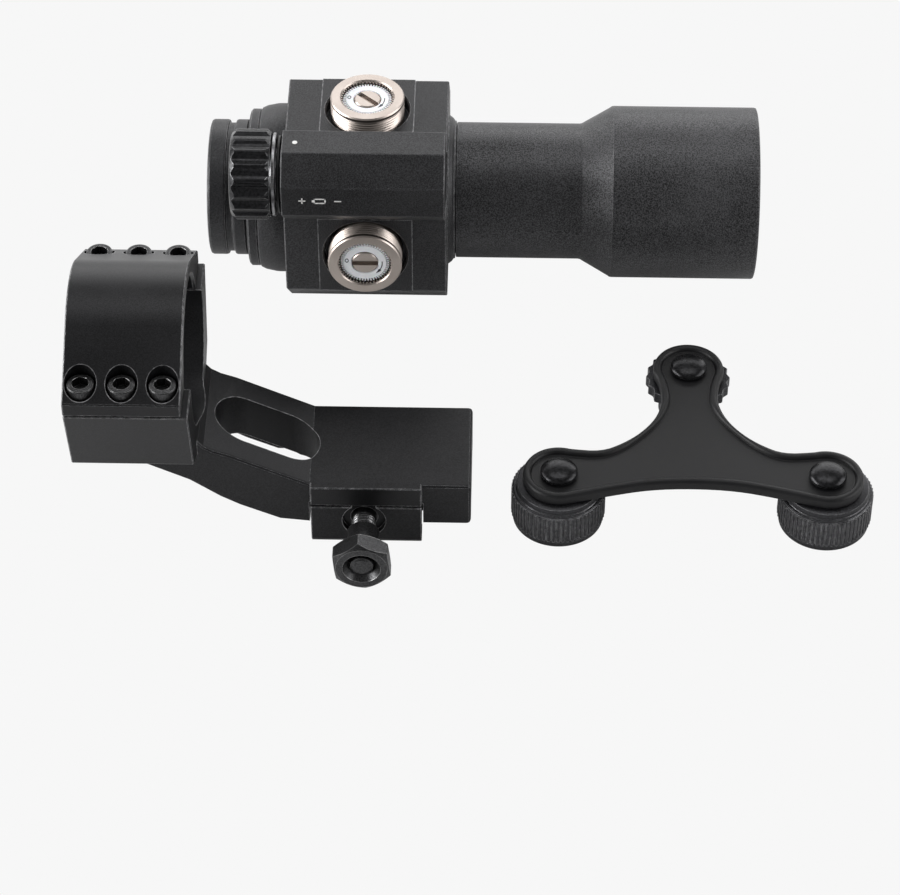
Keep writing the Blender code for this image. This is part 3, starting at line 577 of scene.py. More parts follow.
knob = make("fluted_knob", prism(fluted(flutes, knob_r, 0.65, 0.8), knob_start - 1, knob_end + 1), pod, "X")
ends = [(0, knob_start), (knob_r - 1.3, knob_start), (knob_r - 0.9, knob_start + 0.15),
    (knob_r - 0.1, knob_start + 1.1)]
ends += [(knob_r + 0.1, knob_start + 1.5), (knob_r + 0.1, knob_end - 1.2), (knob_r - 0.7, knob_end),
    (0, knob_end)]
envelope = make("knob_envelope", turned(ends, 144, closed=False), pod, "X")
combine(knob, (envelope,), "INTERSECT")
bore = [(0, knob_start - 1), (7.9, knob_start - 1), (6.4, knob_start + 0.6), (6.4, knob_end + 1),
    (0, knob_end + 1)]
combine(knob, (make("knob_mouth", turned(bore, 128, closed=False), pod, "X"),))
settle(knob, gloss_black, 40)
stand(knob, "knob", "gloss_black", "brightness_knob")

# ------------------------------------------------------------------ battery, spring and dimmer board
# Inside the tube are a nickel-plated coin cell, a conical contact spring and a small round
# circuit board. They are the CAD parts, in their own finishes.

solder_mask, tree, shader, place = new_surface("circuit_board_mask")
weave = put(tree, "ShaderNodeTexNoise", {"Vector": place, "Scale": 2500.0})
lacquer = blend(tree, weave.outputs[0], "0e3a22", "1c5a38")
tree.links.new(lacquer.outputs[2], shader.inputs["Base Color"])
shader.inputs["Roughness"].default_value = 0.3
repaint(stamped_steel, "battery_cell", "battery_spring", "return_spring")
repaint(solder_mask, "dimmer_board")

# ------------------------------------------------------------------ turret collars
# Two threaded collars for the dust caps. They are turned brass with a warm nickel plate, and carry
# a fine outer thread and a splined bore that the dial's clicks ride in.

warm_nickel, tree, shader, place = new_surface("nickel_plated_brass")
lathe = put(tree, "ShaderNodeTexNoise", {"Vector": place, "Scale": 1800.0, "Detail": 3.0})
drift = put(tree, "ShaderNodeTexNoise", {"Vector": place, "Scale": 120.0, "Detail": 2.0})
plate = blend(tree, drift.outputs[0], "a0968f", "c2b8b1")
sheen = put(tree, "ShaderNodeMapRange", {0: lathe.outputs[0], 3: 0.26, 4: 0.44})
turning = put(tree, "ShaderNodeBump", {"Height": lathe.outputs[0], "Strength": 0.2, "Distance": 0.00002})
tree.links.new(plate.outputs[2], shader.inputs["Base Color"])
tree.links.new(sheen.outputs[0], shader.inputs["Roughness"])
tree.links.new(turning.outputs[0], shader.inputs["Normal"])
shader.inputs["Metallic"].default_value = 1.0


def new_tree(name, **sockets):
    """An empty Geometry Nodes tree and its input node. The sockets are names with their kinds."""
    tree = bpy.data.node_groups.new(name, "GeometryNodeTree")
    for socket_name, kind in sockets.items():
        tree.interface.new_socket(name=socket_name, in_out="INPUT", socket_type="NodeSocket" + kind)
    tree.interface.new_socket(name="Geometry", in_out="OUTPUT", socket_type="NodeSocketGeometry")
    return tree, put(tree, "NodeGroupInput")


def end_tree(tree, entry, points, unit, rotation):
    """Sets the unit on the points, makes the copies real and paints them."""
    pieces = {"Points": points, "Instance": unit.outputs["Geometry"], "Rotation": rotation}
    copies = put(tree, "GeometryNodeInstanceOnPoints", pieces)
    real = put(tree, "GeometryNodeRealizeInstances", {0: copies.outputs[0]})
    painted = put(
        tree, "GeometryNodeSetMaterial", {"Geometry": real.outputs[0], "Material": entry.outputs["Finish"]}
    )
    put(tree, "NodeGroupOutput", {0: painted.outputs[0]})


def run_tree(obj, tree, **values):
    """Gives an object the tree as a modifier, with these values in its sockets."""
    modifier = obj.modifiers.new("copies", "NODES")
    modifier.node_group = tree
    for item in tree.interface.items_tree:
        if item.in_out == "INPUT":
            modifier[item.identifier] = values[item.name]


# One tree sets copies of a unit round an axis, each one facing outwards.
round_tree, entry = new_tree("copies_round_an_axis", Unit="Object", Count="Int", Radius="Float",
    Finish="Material")
circle = put(
    round_tree,
    "GeometryNodeMeshCircle",
    {"Vertices": entry.outputs["Count"], "Radius": entry.outputs["Radius"]},
)
unit = put(round_tree, "GeometryNodeObjectInfo", {"Object": entry.outputs["Unit"]})
spot = put(round_tree, "GeometryNodeInputPosition")
aim = put(round_tree, "FunctionNodeAlignRotationToVector", {"Vector": spot.outputs[0]}, axis="X",
    pivot_axis="Z")
end_tree(round_tree, entry, circle.outputs[0], unit, aim.outputs[0])


def copies_round(bm, unit_bm, count, radius, material, turn=0.0):
    """Adds copies of a unit, drawn about its own origin with X outwards, in a circle round Z."""
    unit_mesh = bpy.data.meshes.new("unit")
    unit_bm.to_mesh(unit_mesh)
    unit_bm.free()
    unit_object = bpy.data.objects.new("unit", unit_mesh)
    holder = bpy.data.objects.new("holder", bpy.data.meshes.new("holder"))
    for helper in (unit_object, holder):
        bpy.context.scene.collection.objects.link(helper)
    run_tree(holder, round_tree, Unit=unit_object, Count=count, Radius=radius, Finish=material)
    mesh = worked_out(holder)
    mesh.transform(Matrix.Rotation(turn, 4, "Z"))
    bm.from_mesh(mesh)
    for helper in (unit_object, holder):
        bpy.data.objects.remove(helper)


def cut_thread(bm, radius, depth, pitch, low, high):
    """Sinks a helical thread into the outer wall of a turned shape."""
    for vertex in bm.verts:
        across_r = sqrt(vertex.co.x**2 + vertex.co.y**2)
        if abs(across_r - radius) > 0.01 or not low <= vertex.co.z <= high:
            continue
        phase = (vertex.co.z / pitch - atan2(vertex.co.y, vertex.co.x) / (2 * pi)) % 1
        fade = min(1.0, (vertex.co.z - low) / pitch, (high - vertex.co.z) / pitch)
        sink = depth * fade * (1 - abs(2 * phase - 1))
        vertex.co.x *= (radius - sink) / radius
        vertex.co.y *= (radius - sink) / radius


collar_r = (collar_high.x - collar_low.x) / 2
collar_long = collar_high.z - collar_low.z
collar_bore = 5.75
thread_pitch = 0.62
turrets = {"elevation": ("Z", radians(-43)), "windage": ("-Y", 0.0)}


def on_turret(turret_axis, height):
    """A point on a turret's axis, that far from the sight's axis."""
    return sight + (Vector((0, 0, height)) if turret_axis == "Z" else Vector((0, -height, 0)))


collar_base = collar_low.z - axis_z
for turret, (turret_axis, slot_turn) in turrets.items():
    top = collar_long
    profile = [(3.6, 0), (collar_r - 0.3, 0)]
    rows = int((top - 0.9) / (thread_pitch / 8))
    profile += [(collar_r, 0.3 + (top - 0.9) * i / rows) for i in range(rows + 1)]
    profile += [(collar_r, top - 0.3), (collar_r - 0.25, top), (collar_bore + 0.22, top),
        (collar_bore, top - 0.25)]
    profile += [(collar_bore, 2.3), (3.6, 2.3)]
    bm = turned(profile, 192)
    cut_thread(bm, collar_r, 0.26, thread_pitch, 0.25, top - 0.55)
    spline = prism([(0.2, -0.2), (0.2, 0.2), (-0.32, 0.12), (-0.32, -0.12)], 2.2, top - 0.35)
    copies_round(bm, spline, 46, collar_bore, warm_nickel)
    collar = make(f"{turret}_threaded_collar", bm, on_turret(turret_axis, collar_base), turret_axis,
        warm_nickel)
    stand(collar, "sight", "nickel_bronze", f"{turret}_collar")

# ------------------------------------------------------------------ turret dials
# White moulded dials with a toothed edge, one tooth to a click. Each holds a nickel-plated brass
# drive boss with a coin slot, and carries a zero and an arrow in dark print.

white_nylon, tree, shader, place = new_surface("white_moulded_nylon")
mottle = put(tree, "ShaderNodeTexNoise", {"Vector": place, "Scale": 900.0, "Detail": 3.0})
milk = blend(tree, mottle.outputs[0], "dfe1e6", "f4f5f7")
tree.links.new(milk.outputs[2], shader.inputs["Base Color"])
shader.inputs["Roughness"].default_value = 0.42
shader.inputs["Subsurface Weight"].default_value = 0.08
shader.inputs["Subsurface Scale"].default_value = 0.0005

dark_print, tree, shader, place = new_surface("dark_pad_print")
grain = put(tree, "ShaderNodeTexNoise", {"Vector": place, "Scale": 3500.0})
ink = blend(tree, grain.outputs[0], "17191f", "3a3e4a")
tree.links.new(ink.outputs[2], shader.inputs["Base Color"])
shader.inputs["Roughness"].default_value = 0.55

dial_r, dial_face, boss_r = 5.3, 25.2, 2.85
for turret, (turret_axis, slot_turn) in turrets.items():
    base = on_turret(turret_axis, collar_base + 2.5)
    face = dial_face - collar_base - 2.5
    profile = [(boss_r + 0.12, 0), (dial_r - 0.6, 0), (dial_r - 0.6, face - 0.12), (dial_r - 0.7, face)]
    profile += [(boss_r + 0.3, face), (boss_r + 0.12, face - 0.18)]
    bm = turned(profile, 144)
    tooth = prism([(-0.7, -0.2), (0.0, -0.14), (0.0, 0.14), (-0.7, 0.2)], 0, face - 0.1)
    copies_round(bm, tooth, 52, dial_r, white_nylon)
    dial = make(f"{turret}_toothed_dial", bm, base, turret_axis, white_nylon)
    stand(dial, f"{turret}_dial", "white_dial", f"{turret}_dial")

    # A thin black ring set low in the bore, between the dial's teeth and the collar's splines. It is painted
    # shade that darkens the bottoms of the gaps between the teeth.
    shade = [(dial_r + 0.05, 0.0), (collar_bore + 0.05, 0.0), (collar_bore + 0.05, 1.5), (dial_r + 0.05, 1.5)]
    painted_shade_ring = make(f"{turret}_click_ring", turned(shade, 96), base, turret_axis, inner_black)
    stand(painted_shade_ring, "sight", "black_anodised")

    profile = [(0, 0.1), (boss_r, 0.1), (boss_r, face - 0.1), (boss_r - 0.22, face + 0.12), (0, face + 0.12)]
    boss = make(f"{turret}_drive_boss", turned(profile, 96, closed=False), base, turret_axis)
    groove = prism([(-3.2, -0.62), (3.2, -0.62), (3.2, 0.62), (-3.2, 0.62)], face - 0.85, face + 2)
    bmesh.ops.rotate(groove, verts=groove.verts, matrix=Matrix.Rotation(slot_turn, 3, "Z"))
    combine(boss, (make("coin_slot", groove, base, turret_axis),))
    settle(boss, warm_nickel)
    stand(boss, f"{turret}_dial", "nickel_bronze")

    zero = turned([(0.26, face - 0.02), (0.42, face - 0.02), (0.42, face + 0.03), (0.26, face + 0.03)], 36)
    bmesh.ops.scale(zero, vec=(1.0, 1.35, 1), verts=zero.verts)
    bmesh.ops.translate(zero, vec=(-3.95, 0.55, 0), verts=zero.verts)
    arrow = []
    for part in range(13):
        angle = radians(-52 + 58 * part / 12)
        half_width = 0.34 * part / 4 if part < 5 else 0.09
        arrow.append((3.75, angle, half_width))
    outline = [((r + w) * Vector((cos(a), sin(a)))) for r, a, w in arrow]
    outline += [((r - w) * Vector((cos(a), sin(a)))) for r, a, w in reversed(arrow[1:])]
    sweep = prism([tuple(p) for p in outline], face - 0.02, face + 0.03)
    lump = bpy.data.meshes.new("sweep")
    sweep.to_mesh(lump)
    sweep.free()
    zero.from_mesh(lump)
    marks = make(f"{turret}_dial_print", zero, base, turret_axis, dark_print)
    stand(marks, f"{turret}_dial", "white_dial")

blackened_steel = coated_metal(
    "black_oxide_steel", "2a2a2b", "4c4c4d", "c4c4c4", 0.9, 0.34, 0.25, 0.2, 0.2, 1.0
)
repaint(stamped_steel, "elevation_screw", "windage_screw")

# ------------------------------------------------------------------ ring cap
# The upper half of the 30 mm ring: milled aluminium with a satin tumbled finish under its black
# dye. Six counterbored holes along its two feet take the clamping screws.

satin_black = coated_metal(
    "satin_anodised_aluminium", "101011", "252527", "c0c0c2", 0.6, 0.4, 0.2, 0.3, 0.3, 0.9
)
cap_low, cap_high = mm_box("ring_cap")
base_high = mm_box("mount_base")[1]
split = 3.3
ring_z = cap_low.z - split
ring_half = (cap_high.x - cap_low.x) / 2
ring = Vector((cap_low.x + ring_half, (cap_low.y + cap_high.y) / 2, ring_z))
foot_half = (cap_high.y - cap_low.y) / 2
ring_r, flank_low = cap_high.z - ring_z, 6.4
ring_bore = 15.2
screw_y, screw_pitch, head_r, head_top = 19.7, 8.1, 2.75, 8.9



# The crown is round, and its flanks run straight down from it to the feet.
lean = atan2(foot_half, flank_low) - acos(ring_r / hypot(foot_half, flank_low))
crown = [(ring_r * sin(lean * i / 20), ring_r * cos(lean * i / 20)) for i in range(20, -21, -1)]
outline = [(foot_half, split), (foot_half, flank_low), *crown, (-foot_half, flank_low), (-foot_half, split)]
cap = make("ring_upper_half", across(outline, -ring_half, ring_half), ring)
soften(cap, 0.2, 1, 40)
flared = [(0, -ring_half - 1), (ring_bore + 1.5, -ring_half - 1), (ring_bore, -ring_half + 0.5)]
flared += [(ring_bore, ring_half - 0.5), (ring_bore + 1.5, ring_half + 1), (0, ring_half + 1)]
tools = [make("ring_bore_tool", turned(flared, 192, closed=False), ring, "X")]
places = [(x, y) for y in (-screw_y, screw_y) for x in (-screw_pitch, 0, screw_pitch)]
for x, y in places:
    at = ring + Vector((x, y, 0))
    seat = [(0, 0), (1.8, 0), (1.8, head_top - 3.3), (head_r + 0.45, head_top - 3.3),
        (head_r + 0.45, 30), (0, 30)]
    tools.append(make("counterbore", turned(seat, 64, closed=False), at))
combine(cap, tools)
settle(cap, satin_black)
stand(cap, "ring_cap", "satin_black_anodised", "ring_cap")

# ------------------------------------------------------------------ cap screws
# Six socket-head screws of alloy steel, turned, hexagon-broached and blacked with hot oxide. One
# Geometry Nodes tree sets them out in their two rows of three.

head = [(0, -3.0), (1.2, -3.0), (1.5, -2.7), (1.5, head_top - 3), (head_r - 0.15, head_top - 3),
    (head_r, head_top - 2.85)]
head += [(head_r, head_top - 0.4), (head_r - 0.12, head_top - 0.14), (head_r - 0.4, head_top), (0, head_top)]
screw = make("cap_screw_unit", turned(head, 72, closed=False))
tip = prism(regular(6, 1.55), head_top - 1.9, head_top + 1)
lead = turned([(0, head_top - 0.25), (1.5, head_top - 0.25), (1.95, head_top + 0.2),
    (0, head_top + 0.2)], 36, closed=False)
combine(screw, (make("socket", tip), make("socket_lead", lead)))
settle(screw, blackened_steel)

grid_tree, entry = new_tree("copies_on_a_grid", Unit="Object", Across="Float", Along="Float", Finish="Material")
grid = put(
    grid_tree,
    "GeometryNodeMeshGrid",
    {"Size X": entry.outputs["Along"], "Size Y": entry.outputs["Across"], "Vertices X": 3, "Vertices Y": 2},
)
unit = put(grid_tree, "GeometryNodeObjectInfo", {"Object": entry.outputs["Unit"]})
twist = put(
    grid_tree,
    "FunctionNodeRandomValue",
    {0: (0.0, 0.0, 0.0), 1: (0.0, 0.0, 1.05), "Seed": 4},
    data_type="FLOAT_VECTOR",
)
end_tree(grid_tree, entry, grid.outputs[0], unit, twist.outputs[0])

rows = make("cap_screws", bmesh.new())
along, width = 2 * screw_pitch / 1000, 2 * screw_y / 1000
run_tree(rows, grid_tree, Unit=screw, Across=width, Along=along, Finish=blackened_steel)
settle(rows, blackened_steel)
rows.data.transform(Matrix.Translation(ring / 1000))
bpy.data.objects.remove(screw)
stand(rows, "ring_cap", "black_oxide_steel", *[f"cap_screw_{n}" for n in range(1, 7)])

# ------------------------------------------------------------------ mount base
# The lower ring half, the slotted arm and the fixed side of the rail clamp, all milled from one
# block, tumbled and dyed black. Its high arrises have been scuffed bright in use.

rail_top, rail_widest, rail_half = 6.7, 3.8, 10.9
base_end, base_top, base_half, arm_end = base_high.x - ring.x, 15.7, 12.1, 35.6
clamp_low, clamp_high = mm_box("clamp_jaw")
clamp_x = (clamp_low.x - ring.x, clamp_high.x - ring.x)
clamp_half, clamp_split, gap = 13.0, 10.5, 0.3


def drop(points):
    """Heights above the table turned into heights about the ring's centre."""
    return [(along, height - ring_z) for along, height in points]


edge = split - gap
lower = [(-foot_half, edge), (-18.7, -14.2), (-9.5, -19.2), (9.5, -19.2), (18.7, -14.2), (foot_half, edge)]
base = make("ring_lower_half", across(lower, -ring_half, 13.0), ring)
soften(base, 0.2, 1)
side = [(base_end, base_top), (base_end, 4.7), (arm_end, 4.7), (29.2, 5.4), (21.1, 9.2), (17.1, 11.6)]
side += [(10.9, 16.3), (1.9, 20.9), (-2.1, 24.0), (3.9, 34.0), (12.3, 34.0), (12.6, 29.5), (13.2, 27.4)]
side += [(14.3, 26.0), (16.2, 24.8), (19.4, 23.6), (arm_end, base_top)]
arm = make("arm_block", across(drop(side), -base_half, base_half, "XZ"), ring)
soften(arm, 0.9, 3, 60)
boss = [(clamp_x[0], base_top - 5), (clamp_x[1], base_top - 5), (clamp_x[1], base_top - 0.02),
    (clamp_x[0], base_top - 0.02)]
block = make("clamp_boss", across(drop(boss), -clamp_half, -8, "XZ"), ring)
soften(block, 0.15, 1)
hook = [(6.0, rail_top + 2), (6.0, 5.0), (rail_half, 5.0), (rail_half, rail_widest), (8.7, 1.6), (8.7, 0.8)]
hook += [(9.5, 0), (11.9, 0), (clamp_half, 1.2), (clamp_half, 10.5), (base_half - 1, 12)]
far_hook = make("fixed_hook", across(drop(hook), arm_end, base_end - 0.6), ring)
combine(base, (arm, block, far_hook), "UNION")

channel = [(-7.9, rail_top), (-rail_half, rail_widest), (-rail_half, -5), (8.7, -5), (8.7, 1.6)]
channel += [(rail_half, rail_widest), (7.9, rail_top)]
tools = [make("rail_channel", across(drop(channel), arm_end - 18, base_end + 20), ring)]
pocket = [(14.0, -1), (34.5, -1), (34.5, 6.2), (33.0, 6.5), (19.4, 13.1), (14.0, 15.0)]
tools.append(make("arm_pocket", across(drop(pocket), -8.5, 8.5, "XZ"), ring))
room = [(-9.0, clamp_split + 0.3), (-9.0, -5), (-20, -5), (-20, clamp_split + 0.3)]
tools.append(make("jaw_room", across(drop(room), clamp_x[0] - gap, clamp_x[1] + gap), ring))
bolt = ring + Vector((46.7, 0, 6.7 - ring_z))
tools.append(make("bolt_way", rod(2.7, -20, 20, 48), bolt, "-Y"))
upright = [(0, -ring_half - 1), (ring_bore + 1.5, -ring_half - 1), (ring_bore, -ring_half + 0.5)]
upright += [(ring_bore, 14.5), (ring_bore + 0.4, 40), (0, 40)]
tools.append(make("lower_bore", turned(upright, 192, closed=False), ring, "X"))
slot_outline = []
for end, start in ((4.5, -90), (-4.5, 90)):
    angles = [radians(start + step) for step in range(0, 181, 6)]
    slot_outline += [(end + 6.2 * cos(a), 6.2 * sin(a)) for a in angles]
tools.append(make("arm_slot", prism(slot_outline, -60, 0), ring + Vector((26.5, 0, 0))))
for x, y in places:
    tools.append(make("tapped_hole", rod(1.8, -3.4, 20, 32), ring + Vector((x, y, 0))))
combine(base, tools)
settle(base, satin_black)
stand(base, "mount", "satin_black_anodised", "mount_base")

# ------------------------------------------------------------------ clamp jaw
# The loose jaw that closes on the rail. It is milled, tumbled and dyed with the base, and a round
# recess in its outer face lets the nut sit in.

jaw = [(-clamp_half - 0.3, clamp_split), (-clamp_half - 0.3, 1.4), (-clamp_half + 0.6, 0), (-9.5, 0),
    (-8.7, 0.8)]
jaw += [(-8.7, 1.6), (-rail_half, rail_widest), (-9.3, 5.4), (-9.3, clamp_split)]
moving_jaw = make("moving_jaw", across(drop(jaw), *clamp_x), ring)
soften(moving_jaw, 0.15, 1)
combine(moving_jaw, (make("jaw_hole", rod(2.8, 0, 30, 48), bolt, "-Y"), make("jaw_recess", rod(4.5, 12,
    30, 64), bolt, "-Y")))
settle(moving_jaw, satin_black)
stand(moving_jaw, "clamp_jaw", "satin_black_anodised", "clamp_jaw")

# ------------------------------------------------------------------ cross bolt and nut
# A blackened steel bolt runs through the base and also stops the mount sliding along its rail. The
# big hexagon nut is turned, chamfered on both faces and blacked.

nut_low, nut_high = mm_box("clamp_nut")
nut_face = bolt.y - nut_low.y
hub_start = bolt.y - nut_high.y
nut_long, nut_half = 4.2, 5.65
far = -clamp_half - gap
shank = [(0, far - 3), (3.2, far - 3), (3.7, far - 2.8), (4.0, far - 2.3), (4.0, far), (2.5, far)]
rows = int(20 / 0.1)
shank += [(2.5, nut_face - 21 + 20 * i / rows) for i in range(rows + 1)]
shank += [(2.35, nut_face - 0.72), (1.8, nut_face - 0.42), (1.0, nut_face - 0.32), (0, nut_face - 0.3)]
bm = turned(shank, 96, closed=False)
cut_thread(bm, 2.5, 0.3, 0.8, nut_face - 14, nut_face - 0.9)
through_bolt = make("through_bolt", bm, bolt, "-Y", blackened_steel)
stand(through_bolt, "mount", "black_oxide_steel", "cross_bolt")

nut = make("hexagon_nut", prism(regular(6, nut_half, radians(6)), nut_face - nut_long, nut_face), bolt, "-Y")
soften(nut, 0.12, 1)
corner = nut_half / cos(pi / 6)
ends = [(0, nut_face - nut_long - 1), (5.5, nut_face - nut_long - 1), (5.5, nut_face - nut_long)]
ends += [(corner + 0.1, nut_face - nut_long + 0.7), (corner + 0.1, nut_face - 0.95), (5.3, nut_face)]
ends += [(5.3, nut_face + 1), (0, nut_face + 1)]
combine(nut, (make("nut_envelope", turned(ends, 144, closed=False), bolt, "-Y"),), "INTERSECT")
hub = [(0, hub_start), (3.1, hub_start), (3.3, hub_start + 0.2), (3.3, nut_face - nut_long + 1),
    (0, nut_face - nut_long + 1)]
combine(nut, (make("nut_hub", turned(hub, 96, closed=False), bolt, "-Y"),), "UNION")
way = [(0, hub_start - 1), (2.7, hub_start - 1), (2.7, nut_face - 1.4), (3.3, nut_face - 0.8)]
way += [(3.9, nut_face), (3.9, nut_face + 1), (0, nut_face + 1)]
combine(nut, (make("nut_bore", turned(way, 96, closed=False), bolt, "-Y"),))
settle(nut, blackened_steel)
stand(nut, "clamp_nut", "black_oxide_steel", "clamp_nut")

# ------------------------------------------------------------------ tether strap
# A flat strap moulded in black rubber, with a raised, rounded rim round a shallow recess. It ties
# the three caps together so that none is lost.

cap_nodes = ("elevation_cap", "windage_cap", "battery_cap")
centres = {}
for node_name in cap_nodes:
    low, high = mm_box(node_name)
    centres[node_name] = Vector(((low.x + high.x) / 2, (low.y + high.y) / 2, 0))
strap_low, strap_high = mm_box("tether_strap")
middle = (centres["elevation_cap"] + centres["windage_cap"]) / 2
cap_out = centres["windage_cap"].x - middle.x
top_out = centres["battery_cap"].y - middle.y
end_r = strap_high.y - centres["battery_cap"].y


def cut_corners(points, rounds):
    """Rounds a closed outline by cutting each corner at a quarter and three quarters."""
    for _ in range(rounds):
        cut = []
        for (x0, y0), (x1, y1) in zip(points, points[1:] + points[:1]):
            cut += [(0.75 * x0 + 0.25 * x1, 0.75 * y0 + 0.25 * y1),
                (0.25 * x0 + 0.75 * x1, 0.25 * y0 + 0.75 * y1)]
        points = cut
    return points


def strap_outline(inset):
    """Half of the strap's edge by its own points, then mirrored."""
    r = end_r - inset
    half = [(0, -2.4 + inset), (9.0, -2.9 + inset), (17.5, -4.9 + inset)]
    half += [(cap_out + r * cos(radians(a)), r * sin(radians(a))) for a in range(-112, 113, 14)]
    half += [(19.0, 6.6 - inset), (14.6, 8.9 - inset), (10.6, 12.2 - 0.8 * inset), (7.6 - 0.8 * inset, 16.4)]
    half += [(5.9 - inset, 21.6), (6.0 - inset, 25.4)]
    half += [(r * cos(radians(a)), top_out + r * sin(radians(a))) for a in range(-30, 80, 15)]
    mirrored = [(-x, y) for x, y in reversed(half[1:])]
    return cut_corners(half + [(0, top_out + r)] + mirrored, 2)


def loft(rows):
    """Closed outlines of the same count, one above the other, skinned into a solid."""
    bm = bmesh.new()
    loops = [[bm.verts.new((x, y, z)) for x, y in points] for points, z in rows]
    for low_loop, high_loop in zip(loops, loops[1:]):
        for i in range(len(low_loop)):
            j = (i + 1) % len(low_loop)
            bm.faces.new((low_loop[i], low_loop[j], high_loop[j], high_loop[i]))
    bm.faces.new(loops[0])
    bm.faces.new(loops[-1])
    return bm


low, top, floor_z = strap_low.z, strap_high.z, strap_high.z - 0.7
steps = [(0.35, low), (0.1, low + 0.1), (0, low + 0.35), (0, top - 0.9), (0.06, top - 0.6), (0.25, top - 0.25)]
steps += [(0.55, top - 0.06), (0.9, top), (1.25, top - 0.06), (1.55, top - 0.25), (1.75, top - 0.6)]
steps += [(1.85, top - 0.85), (2.05, top - 0.9)]
strap = make("rubber_strap", loft([(strap_outline(inset), z) for inset, z in steps]), middle)
combine(strap, [make("strap_hole", rod(2.2, 5, 15, 48), centre) for centre in centres.values()])
settle(strap, moulded_rubber, 40)
stand(strap, "tether", "black_rubber", "tether_strap")

# ------------------------------------------------------------------ turret dust caps
# Two aluminium caps, straight-knurled round the middle with a plain skirt and a stepped crown, and
# dyed black. Each has a rubber washer pressed inside against its roof.

cap_black = coated_metal(
    "knurled_anodised_aluminium", "19191a", "37373a", "b4b4b6", 0.6, 0.36, 0.3, 0.3, 0.2, 1.0
)
for name in ("elevation_cap", "windage_cap"):
    low, high = mm_box(name)
    cap_r, cap_top = (high.x - low.x) / 2, high.z
    profile = [(8.4, 0.3), (8.7, 0), (cap_r - 0.55, 0), (cap_r - 0.4, 0.15), (cap_r - 0.22, 1.4),
        (cap_r - 0.3, 1.6)]
    profile += [(cap_r - 0.3, 8.1), (cap_r - 0.25, 8.3), (cap_r - 0.5, 8.5), (9.0, 8.55), (8.85, 8.7),
        (8.8, cap_top - 0.45)]
    profile += [(8.68, cap_top - 0.15), (8.35, cap_top), (2.0, cap_top), (2.0, cap_top - 1.2),
        (0, cap_top - 1.2)]
    profile += [(0, 7.6), (8.4, 7.6)]
    bm = turned(profile, 192)
    rib = [(-0.25, -0.36), (0.08, -0.34), (0.27, -0.16), (0.3, 0.0), (0.27, 0.16), (0.08, 0.34), (-0.25, 0.36)]
    rib_bm = prism(rib, 1.7, 8.1)
    copies_round(bm, rib_bm, 60, cap_r - 0.3, cap_black)
    dust_cap = make(f"{name}_knurled", bm, centres[name], "Z", cap_black, 28)
    stand(dust_cap, name, "black_anodised", name)
    washer = [(6.6, 6.3), (8.0, 6.3), (8.1, 6.4), (8.1, 7.2), (8.0, 7.3), (6.6, 7.3)]
    seal = make(f"{name}_washer", turned(washer, 96), centres[name], "Z", moulded_rubber)
    stand(seal, name, "black_rubber", f"{name}_seal")

# ------------------------------------------------------------------ battery cap
# A thin scalloped aluminium disc with a threaded plug that closes the battery's way in. A plated
# brass contact fills the plug.

low, high = mm_box("battery_cap")
disc_r = (high.x - low.x) / 2
rim = make("scalloped_battery_cap", prism(fluted(20, disc_r, 0.55, 0.7, 12), 7.4, high.z),
    centres["battery_cap"])
soften(rim, 0.16, 2, 50)
plug = [(4.6, 0.8), (5.6, 0.8)] + [(6.0, 1.1 + 0.08 * i) for i in range(76)] + [(6.0, 7.6), (4.6, 7.6)]
plug_bm = turned(plug, 128)
cut_thread(plug_bm, 6.0, 0.3, 0.75, 1.1, 7.1)
combine(rim, (make("plug", plug_bm, centres["battery_cap"]),), "UNION")
combine(rim, (make("rivet_seat", rod(2.0, high.z - 1.2, 12, 48), centres["battery_cap"]),))
settle(rim, cap_black)
stand(rim, "battery_cap", "black_anodised", "battery_cap")
contact = [(0, 0), (3.3, 0), (3.6, 0.1), (4.3, 0.9), (4.3, 7.1), (0, 7.1)]
button = make("contact_button", turned(contact, 96, closed=False), centres["battery_cap"], "Z", warm_nickel)
stand(button, "battery_cap", "nickel_bronze", "battery_cap_contact")

# ------------------------------------------------------------------ rivets
# Domed aluminium rivets, turned, polished and dyed black. Each holds a cap under the strap and
# leaves it free to spin.

for name in cap_nodes:
    low, high = mm_box(f"{name}_rivet")
    dome_r, dome_low, dome_top = (high.x - low.x) / 2, floor_z + 0.3, high.z
    profile = [(0, low.z), (1.5, low.z), (1.7, low.z + 0.2), (1.7, dome_low),
        (dome_r - 0.15, dome_low), (dome_r, dome_low + 0.15)]
    profile += [(dome_r, dome_low + 0.3)]
    rise = dome_top - dome_low - 0.3
    profile += [(dome_r * cos(radians(a)), dome_low + 0.3 + rise * sin(radians(a))) for a in range(6, 90, 6)]
    profile += [(0, dome_top)]
    rivet = make(f"{name}_domed_rivet", turned(profile, 128, closed=False), centres[name], "Z", gloss_black)
    stand(rivet, name, "gloss_black", f"{name}_rivet")

# ------------------------------------------------------------------ floor, lights and camera
# A plain white sweep under broad soft light: one large panel over and behind the parts, which draws
# the light along their upper faces, and weaker ones in front and to the sides.

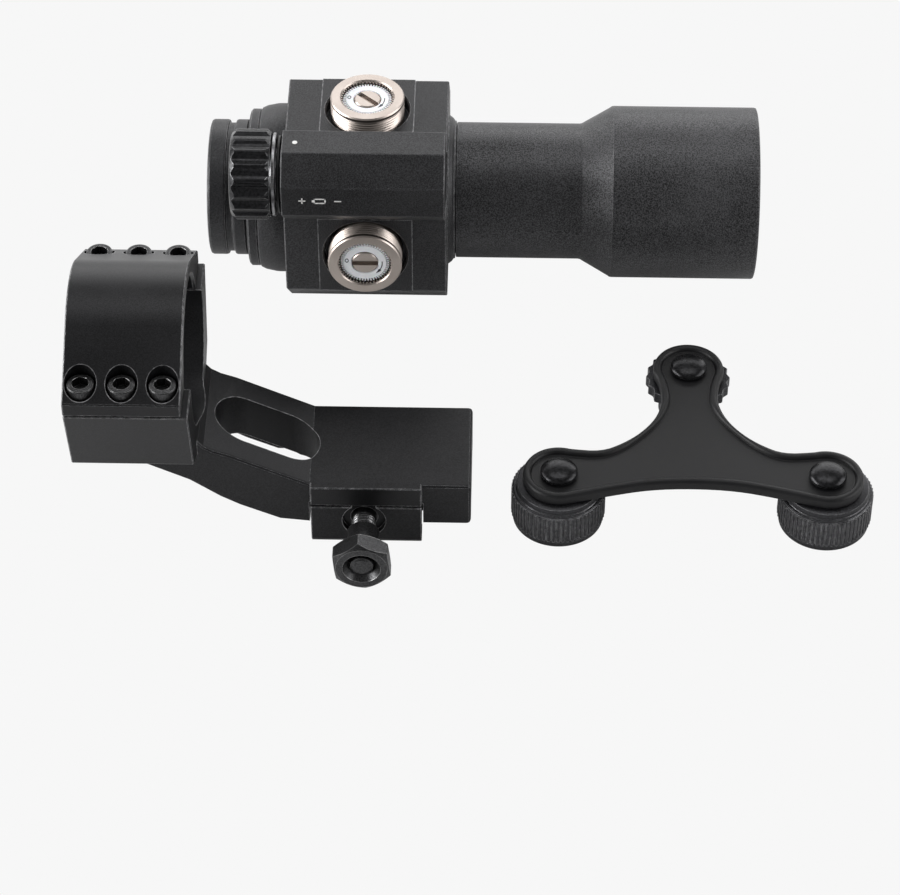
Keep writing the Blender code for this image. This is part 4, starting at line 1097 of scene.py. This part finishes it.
scene = bpy.context.scene
floor_bm = bmesh.new()
bmesh.ops.create_grid(floor_bm, x_segments=1, y_segments=1, size=6000)
white_floor, tree, shader, place = new_surface("white_studio_floor")
shader.inputs["Base Color"].default_value = linear("e2e2e2")
shader.inputs["Roughness"].default_value = 0.9
glow = put(tree, "ShaderNodeEmission", {"Color": linear("f7f7f7"), "Strength": 1.0})
seen = put(tree, "ShaderNodeLightPath")
mix = put(tree, "ShaderNodeMixShader", {0: seen.outputs["Is Camera Ray"], 1: shader.outputs[0],
    2: glow.outputs[0]})
tree.links.new(mix.outputs[0], tree.nodes["Material Output"].inputs["Surface"])
floor_plane = make("studio_floor", floor_bm, (0, 0, -0.02), "Z", white_floor)

world = bpy.data.worlds.new("studio")
scene.world = world
world.use_nodes = True
world.node_tree.nodes["Background"].inputs["Color"].default_value = linear("f7f7f7")
world.node_tree.nodes["Background"].inputs["Strength"].default_value = 0.24


def panel(name, at, aim_at, width, height, watts, tint="ffffff"):
    """A rectangular soft light, placed and aimed in metres."""
    data = bpy.data.lights.new(name, "AREA")
    data.shape = "RECTANGLE"
    data.size, data.size_y = width, height
    data.energy = watts
    data.color = linear(tint)[:3]
    light = bpy.data.objects.new(name, data)
    light.location = at
    light.rotation_euler = (Vector(aim_at) - Vector(at)).to_track_quat("-Z", "Y").to_euler()
    scene.collection.objects.link(light)


panel("low_behind", (0.0, 1.0, 0.5), (0, 0, 0), 2.0, 0.7, 11)
panel("overhead", (0.0, 0.15, 1.1), (0, 0, 0), 0.9, 0.5, 3)
panel("left_side", (-0.9, -0.1, 0.25), (0, 0, 0), 0.9, 0.6, 16)
panel("right_side", (0.9, -0.1, 0.4), (0, 0, 0), 0.9, 0.6, 6)

target = Vector((-0.0065, -0.0195, 0))
turn, rise, distance = radians(1.179), radians(44.207), 0.71027
away = Vector((sin(turn) * cos(rise), -cos(turn) * cos(rise), sin(rise)))
camera = bpy.data.objects.new("camera", bpy.data.cameras.new("camera"))
camera.location = target + distance * away
camera.rotation_euler = (-away).to_track_quat("-Z", "Y").to_euler()
camera.data.sensor_width = 36
camera.data.lens = 132.43
camera.data.clip_start = 0.01
scene.collection.objects.link(camera)
scene.camera = camera
scene.view_settings.view_transform = "Standard"
